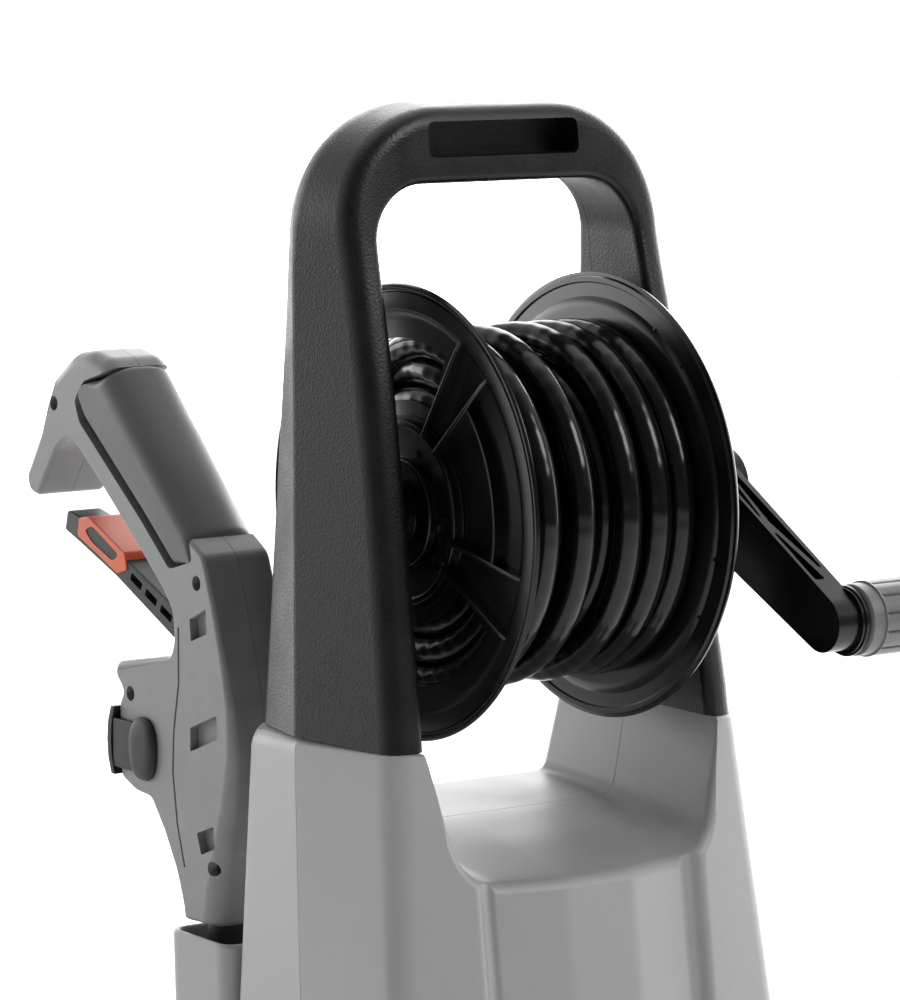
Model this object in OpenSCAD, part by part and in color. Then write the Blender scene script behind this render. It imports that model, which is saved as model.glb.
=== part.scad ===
// Upright electric pressure washer with a hose reel between the legs of its handle.
// Origin: on the floor under the reel. +X is the crank side, -Y the front, +Z up.

/* [Body] */
// Height of the shoulders, where the handle stands on the shells
shoulder_z = 584; // [570:1:600]
// Height of the floor tray
tray_h = 44; // [38:1:60]
// Half width of the shells at their front corners, at the tray
base_half_w = 134; // [126:1:146]
// Wall of the shells
shell_wall = 2.8; // [2:0.1:3.5]

/* [Handle] */
// Height of the handle above the shoulders
handle_h = 273; // [260:1:300]
// Half width of the handle at its feet
handle_half_w = 102; // [98:1:106]
// Half width of the opening at its feet
opening_half_w = 77; // [75:1:80]
// Height of the grip bar
grip_bar_h = 35; // [28:1:40]
// Wall of the handle halves
handle_wall = 3; // [2:0.1:4]
// Half length of the slot in the grip bar
slot_half_w = 40; // [20:1:45]
// Height of the slot
slot_h = 15; // [8:1:18]
// Depth of the slot
slot_depth = 16; // [8:1:20]

/* [Reel] */
// Height of the reel axis above the shoulders
reel_rise = 96; // [85:1:110]
// Gap between the flanges and the back of the saddle under them
reel_gap = 35; // [25:1:45]
// Outer radius of the flanges
flange_r = 100; // [92:1:102]
// Half distance between the outer rims of the flanges
reel_half_w = 54.4; // [45:0.1:60]
// Thickness of a flange
flange_t = 2.6; // [2:0.1:4]
// Outer radius of the drum
drum_r = 42; // [36:1:50]
// Diameter of the hose
hose_d = 12.5; // [10:0.5:13]
// Radius of the reel shaft
shaft_r = 10; // [8:0.5:12]
// Running clearance of shafts in their bores, on the radius
running = 0.05; // [0.02:0.01:0.09]

/* [Crank] */
// Distance from the reel axis to the grip axis
crank_length = 106; // [80:1:125]
// Angle of the crank below the front
crank_angle = 29; // [0:1:80]
// Radius of the grip
grip_r = 17; // [12:0.5:20]
// Length of the grip
grip_length = 90; // [60:1:110]

/* [Wheels] */
// Outer radius of a wheel
wheel_r = 89; // [75:1:89]
// Width of a wheel
wheel_w = 38; // [28:1:46]
// Radius of the axle
axle_r = 6; // [5:0.5:8]

/* [Spray gun] */
// Thickness of the gun
gun_t = 36; // [32:1:37]
// Wall of the gun shells
gun_wall = 2.6; // [2:0.1:3.5]

/* [Pump and motor] */
// Outer radius of the motor
motor_r = 60; // [50:1:64]
// Height of the motor can
motor_h = 150; // [120:1:160]
// Outer radius of the pump
pump_r = 48; // [42:1:52]
// Number of pistons
piston_count = 3; // [3:1:5]

/* [Hidden] */

fine = 96;
hull_fn = 32;
over = 1;
thin = 0.1;
touch = 0.3;
far = 400;

function mix(a, b, t) = a + (b - a) * t;

reel_z = shoulder_z + reel_rise;
handle_top = shoulder_z + handle_h;
bush_x0 = opening_half_w - 6;
bush_x1 = bush_x0 + 7;

// ---- plan of the shells at a height -------------------------------------------------
shell_z0 = tray_h - 4;
shoulder_front_x = handle_half_w - 8;
shoulder_front_y = -51;
shoulder_ridge_x = handle_half_w;
shoulder_ridge_y = 12;
shoulder_rear_x = handle_half_w - 8;
shoulder_rear_y = 64;
base_front_y = -128;
base_ridge_x = base_half_w - 16;
base_ridge_y = -31;
base_rear_x = base_half_w - 20;
base_rear_y = 84;
column_x = 61;
column_step = 11;
prow_step = 15;

function up_shell(z) = (z - shell_z0) / (shoulder_z - shell_z0);
function front_y(z) = mix(base_front_y, shoulder_front_y, up_shell(z));
function ridge_x(z) = mix(base_ridge_x, shoulder_ridge_x, up_shell(z));
function ridge_y(z) = mix(base_ridge_y, shoulder_ridge_y, up_shell(z));
function rear_y(z) = mix(base_rear_y, shoulder_rear_y, up_shell(z));
function prow_y(z) = front_y(z) - prow_step;
function half_plan(z) = [
    [0, prow_y(z)], [column_x, front_y(z) - column_step],
    [mix(base_half_w, shoulder_front_x, up_shell(z)), front_y(z)],
    [ridge_x(z), ridge_y(z)],
    [mix(base_rear_x, shoulder_rear_x, up_shell(z)), rear_y(z)], [0, rear_y(z)]];
function mirrored(pts) = concat(pts, [for (i = [len(pts) - 1:-1:0]) [-pts[i][0], pts[i][1]]]);

module plan_slab(z, inset) {
    translate([0, 0, z]) linear_extrude(thin) offset(delta = -inset) polygon(mirrored(half_plan(z)));
}

module body_form(inset, z0, z1) {
    hull() {
        plan_slab(z0, inset);
        plan_slab(z1 - thin, inset);
    }
}

// ---- helpers: extrusions and cylinders along X and Y ---------------------------------
module yz_plate(x0, x1) {
    translate([x0, 0, 0]) rotate([90, 0, 90]) linear_extrude(x1 - x0) children();
}

module xz_plate(y0, y1) {
    translate([0, y1, 0]) rotate([90, 0, 0]) linear_extrude(y1 - y0) children();
}

module x_rod(r, x0, x1, y, z) {
    translate([x0, y, z]) rotate([0, 90, 0]) cylinder(r = r, h = x1 - x0, $fn = fine);
}

module y_rod(r, y0, y1, x, z) {
    translate([x, y0, z]) rotate([-90, 0, 0]) cylinder(r = r, h = y1 - y0, $fn = fine);
}

module x_ring(r_out, r_in, x0, x1, y, z) {
    difference() {
        x_rod(r_out, x0, x1, y, z);
        x_rod(r_in, x0 - over, x1 + over, y, z);
    }
}

module both_sides() {
    children();
    mirror([1, 0, 0]) children();
}

// ---- floor tray ------------------------------------------------------------------------
tray_lip = 5;
tray_wall = 3.5;
pad_r = 14;
pad_h = 4;
post_r = 9;
unit_y = -10;
post_x = 72;
post_y = 56;
post_z = 150;
mount_h = 12;
bracket_z = post_z + mount_h;
bracket_t = 4;
motor_z0 = bracket_z + bracket_t;
motor_z1 = motor_z0 + motor_h;
pad_inset = 29;
pad_places = [for (side = [-1, 1]) each [[side * (base_half_w - pad_inset), -105],
    [side * (base_rear_x - pad_inset), 55]]];

module base_tray() {
    color("#3a3b3d") difference() {
        union() {
            difference() {
                body_form(-tray_lip, 0, tray_h);
                body_form(tray_wall - tray_lip, tray_wall, tray_h + over);
            }
            for (x = [-post_x, post_x], y = [-post_y, post_y])
                translate([x, unit_y + y, tray_wall]) cylinder(r = post_r, h = post_z - tray_wall, $fn = fine);
        }
        for (p = pad_places)
            translate([p[0], p[1], -over]) cylinder(r = pad_r, h = pad_h - 1.5 + over, $fn = fine);
        for (side = [-1, 1])
            x_rod(wheel_r + 4, side > 0 ? wheel_x0 - 4 : -far, side > 0 ? far : 4 - wheel_x0,
                axle_y, axle_z);
    }
}

module floor_pads() {
    color("#202020") for (p = pad_places)
        translate([p[0], p[1], 0]) cylinder(r = pad_r, h = pad_h - 1.5, $fn = fine);
}

// ---- shells ----------------------------------------------------------------------------
saddle_half_top = opening_half_w + 1.6;
saddle_half_low = 58;
saddle_fillet = 12;
saddle_z = reel_z - flange_r - reel_gap;
saddle_low_z = saddle_z - 40;
leg_lean = (saddle_half_top - saddle_half_low) / (shoulder_z - saddle_low_z);
seam_gap = 0.2;
hose_hole_r = 9;
riser_x = -bush_x1 - 10;
riser_y = -12;
inlet_z = 68;
outlet_z = inlet_z + 4;
inlet_r = 17;
tank_neck_r = 16;
gland_x = 60;
gland_z = 165;
gland_r = 9;
panel_z0 = 150;
groove_w = 9;
groove_depth = 5.5;
knob_z = 410;
bezel_r = 33;

module saddle_cut(grow) {
    intersection() {
        xz_plate(-far, far) offset(r = saddle_fillet, $fn = fine) offset(delta = grow - saddle_fillet)
            polygon([[-saddle_half_low, saddle_low_z], [saddle_half_low, saddle_low_z],
                [saddle_half_top + leg_lean * 60, shoulder_z + 60],
                [-saddle_half_top - leg_lean * 60, shoulder_z + 60]]);
        yz_plate(-far, far) polygon([[-130, saddle_z - 33 - grow], [-73, saddle_z - 21 - grow],
            [-52, saddle_z - 15 - grow], [-20, saddle_z - 6 - grow], [12, saddle_z - 3 - grow],
            [90, saddle_z - grow], [90, shoulder_z + 40], [-130, shoulder_z + 40]]);
    }
}

module panel_groove(side, grow) {
    hull() for (z = [panel_z0 - grow, shoulder_z])
        translate([0, 0, z - thin]) linear_extrude(thin) polygon([
            [0, prow_y(z) - thin + grow],
            [side * (column_x - groove_w), front_y(z) - column_step + groove_depth + grow],
            [side * (column_x + grow), front_y(z) - column_step + grow],
            [side * column_x, prow_y(z) - 4], [0, prow_y(z) - 4]]);
}

module front_half(gap) {
    yz_plate(-far, far) polygon([[-far, 0], [ridge_y(0) - gap, 0],
        [ridge_y(shoulder_z) - gap, shoulder_z], [ridge_y(shoulder_z) - gap, shoulder_z + over],
        [-far, shoulder_z + over]]);
}

module rear_half() {
    yz_plate(-far, far) polygon([[far, 0], [ridge_y(0), 0], [ridge_y(shoulder_z), shoulder_z],
        [ridge_y(shoulder_z), shoulder_z + over], [far, shoulder_z + over]]);
}

module shell_pair() {
    difference() {
        body_form(0, shell_z0, shoulder_z);
        saddle_cut(0);
        difference() {
            body_form(shell_wall, shell_z0 - over, shoulder_z - shell_wall);
            saddle_cut(shell_wall);
            panel_groove(1, shell_wall);
            panel_groove(-1, shell_wall);
        }
        panel_groove(1, 0);
        panel_groove(-1, 0);
        both_sides() translate([riser_x, 0, shoulder_z - shell_wall - over])
            cylinder(r = hose_hole_r, h = shell_wall + 2 * over, $fn = fine);
    }
}

module front_shell() {
    color("#a9abad") difference() {
        intersection() {
            shell_pair();
            front_half(seam_gap);
        }
        y_rod(switch_r + 1, -far, unit_y, 0, knob_z);
        y_rod(inlet_r + 1, -far, unit_y, 0, inlet_z);
    }
}

module rear_shell() {
    color("#a9abad") difference() {
        intersection() {
            shell_pair();
            rear_half();
        }
        x_rod(axle_r + touch, -far, far, axle_y, axle_z);
        y_rod(tank_neck_r + 1, 30, far, 0, tank_neck_z);
        y_rod(gland_r, 40, far, gland_x, gland_z);
        for (z = vent_zs, x = [-vent_half_w, vent_half_w])
            translate([x - vent_half_w / 1.5, 30, z]) cube([vent_half_w * 4 / 3, far, vent_h]);
    }
}

vent_zs = [210, 222, 234, 246, 258, 270, 282];
vent_h = 5;
vent_half_w = 32;
screw_r = 4;
screw_zs = [140, 260, 380];
screw_x = shoulder_rear_x - 6;

handle_screw_zs = [shoulder_z + 36, handle_top - 97];
handle_screw_x = handle_half_w - 18;

function handle_rear_y(z) = mix(55, 40, (z - shoulder_z) / (handle_h - 62));

// screws of the shells, the handle and the holster
module case_screws() {
    color("#55585c") {
        for (z = screw_zs, x = [-screw_x, screw_x])
            y_rod(screw_r, rear_y(z) + 0.3, rear_y(z) + 2, x, z);
        for (z = handle_screw_zs, side = [-1, 1])
            y_rod(screw_r, handle_rear_y(z) + 0.4, handle_rear_y(z) + 2,
                side * (handle_screw_x - (z - shoulder_z) * 0.035), z);
        for (z = [cup_top - 40, cup_top - 20])
            y_rod(3, cup_y0 + cup_wall + 0.1, cup_y0 + cup_wall + 2, gun_x, z);
    }
}

// ---- handle ----------------------------------------------------------------------------
lean = 4.95;
handle_slope = 0.058;
handle_corner = 58;
opening_corner = 27;
opening_top = handle_top - grip_bar_h;
opening_half_top = opening_half_w - 8;
opening_lean_h = handle_h - 67;

// outline of the handle seen from the front; local origin at the shoulder
module handle_outline(inset) {
    h = handle_h;
    half_low = handle_half_w - inset;
    half_high = handle_half_w - inset - handle_slope * h;
    intersection() {
        polygon([[-half_low, 0], [half_low, 0], [half_high, h], [-half_high, h]]);
        union() {
            translate([-far / 2, 0]) square([far, h - handle_corner]);
            for (s = [-1, 1]) translate([s * (half_high - handle_corner + 1), h - handle_corner])
                circle(r = handle_corner, $fn = fine);
            translate([-half_high + handle_corner, 0])
                square([2 * (half_high - handle_corner), h]);
        }
    }
}

module leaning_slab(offset_y, inset) {
    translate([0, shoulder_ridge_y, shoulder_z]) rotate([-lean, 0, 0])
        translate([0, offset_y, 0]) rotate([90, 0, 0]) linear_extrude(thin) handle_outline(inset);
}

// side profile of the handle, shrunk by its wall when its inside is wanted
module handle_profile(inset) {
    offset(delta = -inset) polygon([[-53, shoulder_z], [-9, handle_top - 62], [-1, handle_top - 19],
        [1, handle_top - 7], [6, handle_top - 1.5], [14, handle_top], [26, handle_top - 1],
        [34, handle_top - 6], [38, handle_top - 11], [40, handle_top - 62], [55, shoulder_z]]);
}

module handle_form(inset) {
    intersection() {
        hull() {
            leaning_slab(-80, 12.8 + inset);
            leaning_slab(0, inset);
            leaning_slab(50, 11.5 + inset);
        }
        yz_plate(-far, far) handle_profile(inset);
    }
}

module handle_opening(grow) {
    xz_plate(-far / 2, far / 2) offset(r = opening_corner, $fn = fine)
        offset(delta = grow - opening_corner) polygon([
            [-opening_half_w - 1, shoulder_z - 40], [opening_half_w + 1, shoulder_z - 40],
            [opening_half_w - (opening_half_w - opening_half_top) * (opening_top - shoulder_z)
                / opening_lean_h, opening_top],
            [-opening_half_w + (opening_half_w - opening_half_top) * (opening_top - shoulder_z)
                / opening_lean_h, opening_top]]);
}

module handle_shell() {
    difference() {
        handle_form(0);
        handle_opening(0);
        difference() {
            translate([0, 0, -handle_wall - over]) handle_form(handle_wall);
            handle_opening(handle_wall);
        }
        difference() {
            handle_form(handle_wall);
            handle_opening(handle_wall);
        }
    }
}

module handle_side(rear) {
    s = rear ? 1 : -1;
    g = rear ? 0 : seam_gap;
    translate([0, shoulder_ridge_y - g, shoulder_z]) rotate([-lean, 0, 0])
        translate([-far, rear ? 0 : -far, -60]) cube([2 * far, far, far]);
}

slot_z = handle_top - 15.5;
bush_r = 16;

module handle_front() {
    color("#1c1d1f") difference() {
        union() {
            intersection() {
                handle_shell();
                handle_side(false);
            }
            intersection() {
                handle_form(0.5);
                xz_plate(-60, slot_depth + 3) square_slot(3);
                handle_side(false);
            }
            both_sides() x_ring(bush_r + 3, bush_r, bush_x0, bush_x1, 0, reel_z);
        }
        xz_plate(-60, slot_depth) square_slot(0);
        both_sides() x_rod(bush_r, hub_boss_x - 7, bush_x1 + thin, 0, reel_z);
        x_rod(shaft_r + 3, bush_x0, far, 0, reel_z);
    }
}

module square_slot(grow) {
    offset(r = 2 + grow, $fn = hull_fn) offset(delta = -2)
        polygon([[-slot_half_w, slot_z - slot_h / 2], [slot_half_w, slot_z - slot_h / 2],
            [slot_half_w, slot_z + slot_h / 2], [-slot_half_w, slot_z + slot_h / 2]]);
}

module handle_rear() {
    color("#1c1d1f") difference() {
        intersection() {
            handle_shell();
            handle_side(true);
        }
        xz_plate(-60, slot_depth + 4) square_slot(3.5);
    }
}

// ---- switch and knob -------------------------------------------------------------------
switch_r = 15;
bezel_front = round(prow_y(knob_z) - prow_step);
bezel_back = bezel_front + 22;
knob_r = 24;
knob_h = 16;
knob_grip_h = 10;

module switch_bezel() {
    color("#2a2b2d") difference() {
        y_rod(bezel_r, bezel_front, bezel_back, 0, knob_z);
        body_form(0, shell_z0, shoulder_z);
        y_rod(switch_r + 1, bezel_front - over, bezel_back + over, 0, knob_z);
    }
}

module switch_body() {
    color("#6d6f72") union() {
        y_rod(switch_r, bezel_front + 6, -60, 0, knob_z);
        translate([-20, -60, knob_z - 18]) cube([40, 22, 36]);
    }
}

module control_knob() {
    color("#c9562b") difference() {
        union() {
            y_rod(knob_r, bezel_front - knob_h, bezel_front - 1, 0, knob_z);
            y_rod(6, bezel_front - 1, bezel_front + 5.5, 0, knob_z);
            translate([-5, bezel_front - knob_h - knob_grip_h, knob_z - knob_r + 2])
                cube([10, knob_grip_h + 1, 2 * knob_r - 4]);
        }
        y_rod(3, bezel_front - 2, bezel_front + 7, 0, knob_z);
    }
}

// ---- spray gun holster -----------------------------------------------------------------
gun_x = 25 - handle_half_w;
cup_top = shoulder_z - 103.7;
cup_depth = 64;
cup_y0 = round(rear_y(cup_top) + 3);
cup_y1 = cup_y0 + 50;
cup_half_x = 23;
cup_wall = 3;

module cup_plan(inset) {
    offset(r = 8 - inset, $fn = hull_fn) polygon([[gun_x - cup_half_x + 8, cup_y0 + 8],
        [gun_x + cup_half_x - 8, cup_y0 + 8], [gun_x + cup_half_x - 8, cup_y1 - 8],
        [gun_x - cup_half_x + 8, cup_y1 - 8]]);
}

module gun_holster() {
    color("#a9abad") difference() {
        union() {
            translate([0, 0, cup_top - cup_depth]) linear_extrude(cup_depth) cup_plan(0);
            translate([gun_x - 12, cup_y0 - 12, cup_top - cup_depth + 8]) cube([24, 16, 44]);
        }
        translate([0, 0, cup_top - cup_depth + cup_wall]) linear_extrude(cup_depth) cup_plan(cup_wall);
        body_form(-thin, shell_z0, shoulder_z);
    }
}

// ---- inlets, tank ----------------------------------------------------------------------
module cable_gland() {
    color("#202020") difference() {
        union() {
            y_rod(gland_r - 0.1, rear_y(gland_z) - 14, rear_y(gland_z) + 4, gland_x, gland_z);
            y_rod(gland_r + 4, rear_y(gland_z) + 0.5, rear_y(gland_z) + 5, gland_x, gland_z);
            y_rod(gland_r - 1, rear_y(gland_z) + 5, rear_y(gland_z) + 20, gland_x, gland_z);
        }
        y_rod(4, rear_y(gland_z) - 20, rear_y(gland_z) + 30, gland_x, gland_z);
    }
}

tank_z0 = motor_z1 + 36;
tank_z1 = saddle_low_z - 19;
tank_neck_z = tank_z1 - 46;
tank_half_w = 62;
tank_y0 = -24;
tank_y1 = 52;
tank_wall = 2;

module tank_block(inset) {
    translate([0, 0, tank_z0 + inset]) linear_extrude(tank_z1 - tank_z0 - 2 * inset)
        offset(r = 12 - inset, $fn = hull_fn) polygon([[-tank_half_w + 12, tank_y0 + 12],
            [tank_half_w - 12, tank_y0 + 12], [tank_half_w - 12, tank_y1 - 12],
            [-tank_half_w + 12, tank_y1 - 12]]);
}

module detergent_tank() {
    color("#d8dadc") difference() {
        union() {
            tank_block(0);
            y_rod(tank_neck_r, tank_y1 - 6, rear_y(tank_neck_z) + 6, 0, tank_neck_z);
        }
        tank_block(tank_wall);
        y_rod(tank_neck_r - 2.5, tank_y1 - 10, far, 0, tank_neck_z);
        translate([20, 14, tank_z0 - over]) cylinder(r = 3.5, h = 8, $fn = fine);
    }
}

module tank_cap() {
    color("#2a2b2d") difference() {
        union() {
            y_rod(tank_neck_r + 5, rear_y(tank_neck_z) + 6.3, rear_y(tank_neck_z) + 16, 0, tank_neck_z);
            y_rod(tank_neck_r - 3, rear_y(tank_neck_z) - 2, rear_y(tank_neck_z) + 7, 0, tank_neck_z);
        }
        y_rod(tank_neck_r - 6, rear_y(tank_neck_z) - 3, rear_y(tank_neck_z) + 9, 0, tank_neck_z);
    }
}

// a tube of round section swept along points, as one closed solid
function unit(v) = v / norm(v);
function tangent(p, i) = unit(p[min(i + 1, len(p) - 1)] - p[max(i - 1, 0)]);
function ring_of(c, t, r, n, side) = let (a = unit(cross(t, side)), b = cross(t, a))
    [for (k = [0:n - 1]) c + r * (cos(360 * k / n) * a + sin(360 * k / n) * b)];
module swept_tube(path, r, n, side) {
    m = len(path);
    pts = [for (i = [0:m - 1]) each ring_of(path[i], tangent(path, i), r, n, side)];
    faces = concat([[for (k = [0:n - 1]) k]],
        [for (i = [0:m - 2], k = [0:n - 1])
            [i * n + k, (i + 1) * n + k, (i + 1) * n + (k + 1) % n, i * n + (k + 1) % n]],
        [[for (k = [n - 1:-1:0]) (m - 1) * n + k]]);
    polyhedron(points = pts, faces = faces, convexity = 6);
}

// points of a curve that rounds the corners of a route
function rounded(route, steps) = [for (i = [0:len(route) - 3], s = [0:steps - 1])
    let (a = i == 0 ? route[0] : (route[i] + route[i + 1]) / 2, b = route[i + 1],
        c = i == len(route) - 3 ? route[i + 2] : (route[i + 1] + route[i + 2]) / 2, t = s / steps)
        a * (1 - t) * (1 - t) + 2 * b * t * (1 - t) + c * t * t];

suction_route = [[20, 14, tank_z0 - 1], [20, 14, tank_z0 - 8], [72, 14, tank_z0 - 22], [92, 4, 260],
    [92, -2, post_z], [pump_r + 30, -8, outlet_z + 12], [pump_r + 12, unit_y, outlet_z + 4],
    [pump_r + 2, unit_y, outlet_z + 4]];
module suction_tube() {
    color("#d0d0d0") swept_tube(concat(rounded(suction_route, 6), [suction_route[7]]), 3, 10, [0.2, 1, 0.1]);
}

// ---- wheels ----------------------------------------------------------------------------
axle_y = 72;
axle_z = wheel_r + 1;
wheel_x0 = base_half_w - 10;
wheel_x1 = wheel_x0 + wheel_w;
tyre_t = 17;
rim_r = wheel_r - tyre_t;
wheel_hub_r = 24;
spoke_count = 6;

module wheel_axle() {
    color("#b8babd") x_rod(axle_r, -wheel_x1 + 1, wheel_x1 - 1, axle_y, axle_z);
}

module wheel_rim() {
    color("#2f3133") difference() {
        union() {
            x_ring(rim_r, rim_r - 5, wheel_x0 + 1, wheel_x1 - 2, axle_y, axle_z);
            x_rod(wheel_hub_r, wheel_x0, wheel_x1 - 4, axle_y, axle_z);
            x_ring(rim_r - 2, wheel_hub_r - 2, wheel_x0 + 16, wheel_x0 + 20, axle_y, axle_z);
            for (k = [0:spoke_count - 1]) translate([0, axle_y, axle_z]) rotate([60 * k, 0, 0])
                translate([wheel_x0 + 8, -4, wheel_hub_r - 3]) cube([wheel_w - 16, 8, rim_r - wheel_hub_r]);
        }
        x_rod(axle_r + running, wheel_x0 - over, wheel_x1 + over, axle_y, axle_z);
    }
}

module wheel_tyre() {
    color("#1a1a1a") x_ring(wheel_r, rim_r, wheel_x0 + 1, wheel_x1 - 2, axle_y, axle_z);
}

module wheel_cap() {
    color("#a9abad") difference() {
        x_rod(wheel_hub_r - 2, wheel_x1 - 4, wheel_x1 + 3, axle_y, axle_z);
        x_rod(wheel_hub_r - 5, wheel_x1 - 5, wheel_x1 + 1, axle_y, axle_z);
    }
}

module wheel_right() { wheel_rim(); }
module wheel_left() { mirror([1, 0, 0]) wheel_rim(); }
module tyre_right() { wheel_tyre(); }
module tyre_left() { mirror([1, 0, 0]) wheel_tyre(); }
module wheel_cap_right() { wheel_cap(); }
module wheel_cap_left() { mirror([1, 0, 0]) wheel_cap(); }

// ---- motor and pump --------------------------------------------------------------------
can_wall = 2;
rotor_r = 26;
motor_shaft_r = 8;
stator_z0 = motor_z0 + 26;
stator_h = 90;
fan_r = motor_r - 5;
cover_h = 26;

module at_unit() { translate([0, unit_y, 0]) children(); }

module tube_z(r_out, r_in, z0, h) {
    translate([0, 0, z0]) difference() {
        cylinder(r = r_out, h = h, $fn = fine);
        translate([0, 0, -over]) cylinder(r = r_in, h = h + 2 * over, $fn = fine);
    }
}

module motor_bracket() {
    color("#9a9da1") at_unit() difference() {
        translate([-post_x - 12, -post_y - 12, bracket_z])
            cube([2 * post_x + 24, 2 * post_y + 24, bracket_t]);
        translate([0, 0, bracket_z - over]) cylinder(r = pump_r - 12, h = bracket_t + 2 * over, $fn = fine);
        for (x = [-post_x, post_x], y = [-post_y, post_y])
            translate([x, y, bracket_z - over]) cylinder(r = 3, h = bracket_t + 2 * over, $fn = fine);
    }
}

module rubber_mounts() {
    color("#202020") at_unit() for (x = [-post_x, post_x], y = [-post_y, post_y])
        translate([x, y, post_z]) cylinder(r = post_r + 1, h = mount_h, $fn = fine);
}

module motor_housing() {
    color("#c4c6c8") at_unit() union() {
        tube_z(motor_r, motor_r - can_wall, motor_z0, motor_h - cover_h);
        tube_z(motor_r - can_wall, bearing_r, motor_z0, 10);
    }
}

bearing_r = 16;
bearing_h = 9;
top_bearing_z = motor_z1 - cover_h;

module motor_end_cover() {
    color("#c4c6c8") at_unit() union() {
        tube_z(motor_r, motor_r - can_wall, motor_z1 - cover_h, cover_h);
        tube_z(motor_r - can_wall, bearing_r, motor_z1 - cover_h, 3);
        tube_z(bearing_r + 3, bearing_r, motor_z1 - cover_h - 7, 10);
        tube_z(motor_r - can_wall, 12, motor_z1 - 3, 3);
    }
}

module motor_stator() {
    color("#b5552d") at_unit() union() {
        tube_z(motor_r - can_wall, rotor_r + 1, stator_z0 + 16, stator_h - 42);
        tube_z(motor_r - 10, rotor_r + 4, stator_z0, stator_h - 16);
    }
}

module motor_rotor() {
    color("#8f9296") at_unit() union() {
        translate([0, 0, bracket_z - 26]) cylinder(r = motor_shaft_r, h = motor_z1 - bracket_z + 14, $fn = fine);
        translate([0, 0, stator_z0 + 6]) cylinder(r = rotor_r, h = stator_h - 24, $fn = fine);
    }
}

module motor_fan() {
    color("#2a2b2d") at_unit() difference() {
        union() {
            translate([0, 0, motor_z1 - 20]) cylinder(r = 18, h = 14, $fn = fine);
            translate([0, 0, motor_z1 - 20]) cylinder(r = fan_r, h = 2, $fn = fine);
            for (k = [0:7]) rotate([0, 0, 45 * k])
                translate([16, -1, motor_z1 - 19]) cube([fan_r - 17, 2, 13]);
        }
        translate([0, 0, motor_z1 - 22]) cylinder(r = motor_shaft_r + 0.02, h = 20, $fn = fine);
    }
}

module motor_bearings() {
    color("#d0d2d4") at_unit() {
        tube_z(bearing_r - 0.02, motor_shaft_r + running, motor_z0 + 0.5, bearing_h);
        tube_z(bearing_r - 0.02, motor_shaft_r + running, top_bearing_z - 6, 8);
    }
}

swash_z = bracket_z - 22;
swash_r = pump_r - 14;
piston_ring = 22;
piston_r = 5;
piston_top = swash_z - 9;
pump_body_z0 = 88;
head_h = 40;

swash_tilt = 9;
module swash_plate() {
    color("#b8babd") at_unit() difference() {
        translate([0, 0, swash_z - 12]) cylinder(r = swash_r, h = 26, $fn = fine);
        translate([0, 0, swash_z]) rotate([0, swash_tilt, 0])
            translate([-far / 2, -far / 2, -far - 3]) cube([far, far, far]);
        translate([0, 0, bracket_z - 36]) cylinder(r = motor_shaft_r + 0.02, h = 50, $fn = fine);
    }
}

module pump_body() {
    color("#c0c2c5") at_unit() difference() {
        translate([0, 0, pump_body_z0]) cylinder(r = pump_r, h = bracket_z - pump_body_z0, $fn = fine);
        translate([0, 0, piston_top - 16]) cylinder(r = swash_r + 2, h = far, $fn = fine);
        for (k = [0:piston_count - 1]) rotate([0, 0, 360 * k / piston_count])
            translate([piston_ring, 0, pump_body_z0 - over])
                cylinder(r = piston_r + running, h = far, $fn = fine);
        for (k = [0:3]) rotate([0, 0, 45 + 90 * k]) translate([pump_r - 6, 0, pump_body_z0 - over])
            cylinder(r = 2.6, h = 20, $fn = fine);
    }
}

module pump_pistons() {
    color("#e2e4e6") at_unit() for (k = [0:piston_count - 1])
        rotate([0, 0, 360 * k / piston_count]) translate([piston_ring, 0, 0]) {
            translate([0, 0, pump_body_z0 + 3]) cylinder(r = piston_r, h = piston_top - pump_body_z0 - 3, $fn = fine);
            translate([0, 0, piston_top - 3]) cylinder(r = piston_r + 2.5, h = 3, $fn = fine);
        }
}

// plain sleeves that hold the room of the return springs round each piston
module piston_springs() {
    color("#9a9da1") at_unit() for (k = [0:piston_count - 1])
        rotate([0, 0, 360 * k / piston_count]) translate([piston_ring, 0, 0])
            tube_z(piston_r + 2, piston_r + 0.2, piston_top - 15.8, 12.6);
}

module pump_head() {
    color("#b08a4a") at_unit() difference() {
        union() {
            translate([0, 0, pump_body_z0 - head_h]) cylinder(r = pump_r - 2, h = head_h, $fn = fine);
            y_rod(13, -pump_r - 8, -pump_r + 12, 0, inlet_z);
        }
        y_rod(8, -pump_r - 9, -20, 0, inlet_z);
        x_rod(7, -pump_r - 9, -20, 0, inlet_z + 4);
        x_rod(3.2, 24, pump_r, 0, suction_route[7][2]);
        for (k = [0:3]) rotate([0, 0, 45 + 90 * k]) translate([pump_r - 6, 0, pump_body_z0 - head_h - over])
            cylinder(r = 3, h = head_h + 2 * over, $fn = fine);
    }
}

module pump_bolts() {
    color("#7b7e82") at_unit() for (k = [0:3]) rotate([0, 0, 45 + 90 * k]) {
        translate([pump_r - 6, 0, pump_body_z0 - head_h]) cylinder(r = 2.5, h = head_h + 16, $fn = fine);
        translate([pump_r - 6, 0, pump_body_z0 - head_h - 5]) cylinder(r = 5, h = 5, $fn = fine);
    }
}

module stop_switch() {
    color("#2a2b2d") at_unit() translate([-16, pump_r + 0.3, 96]) cube([32, 14, 24]);
}

module run_capacitor() {
    color("#e2e4e6") translate([82, 4, tank_z0 + 10]) cylinder(r = 15, h = 62, $fn = fine);
}

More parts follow.
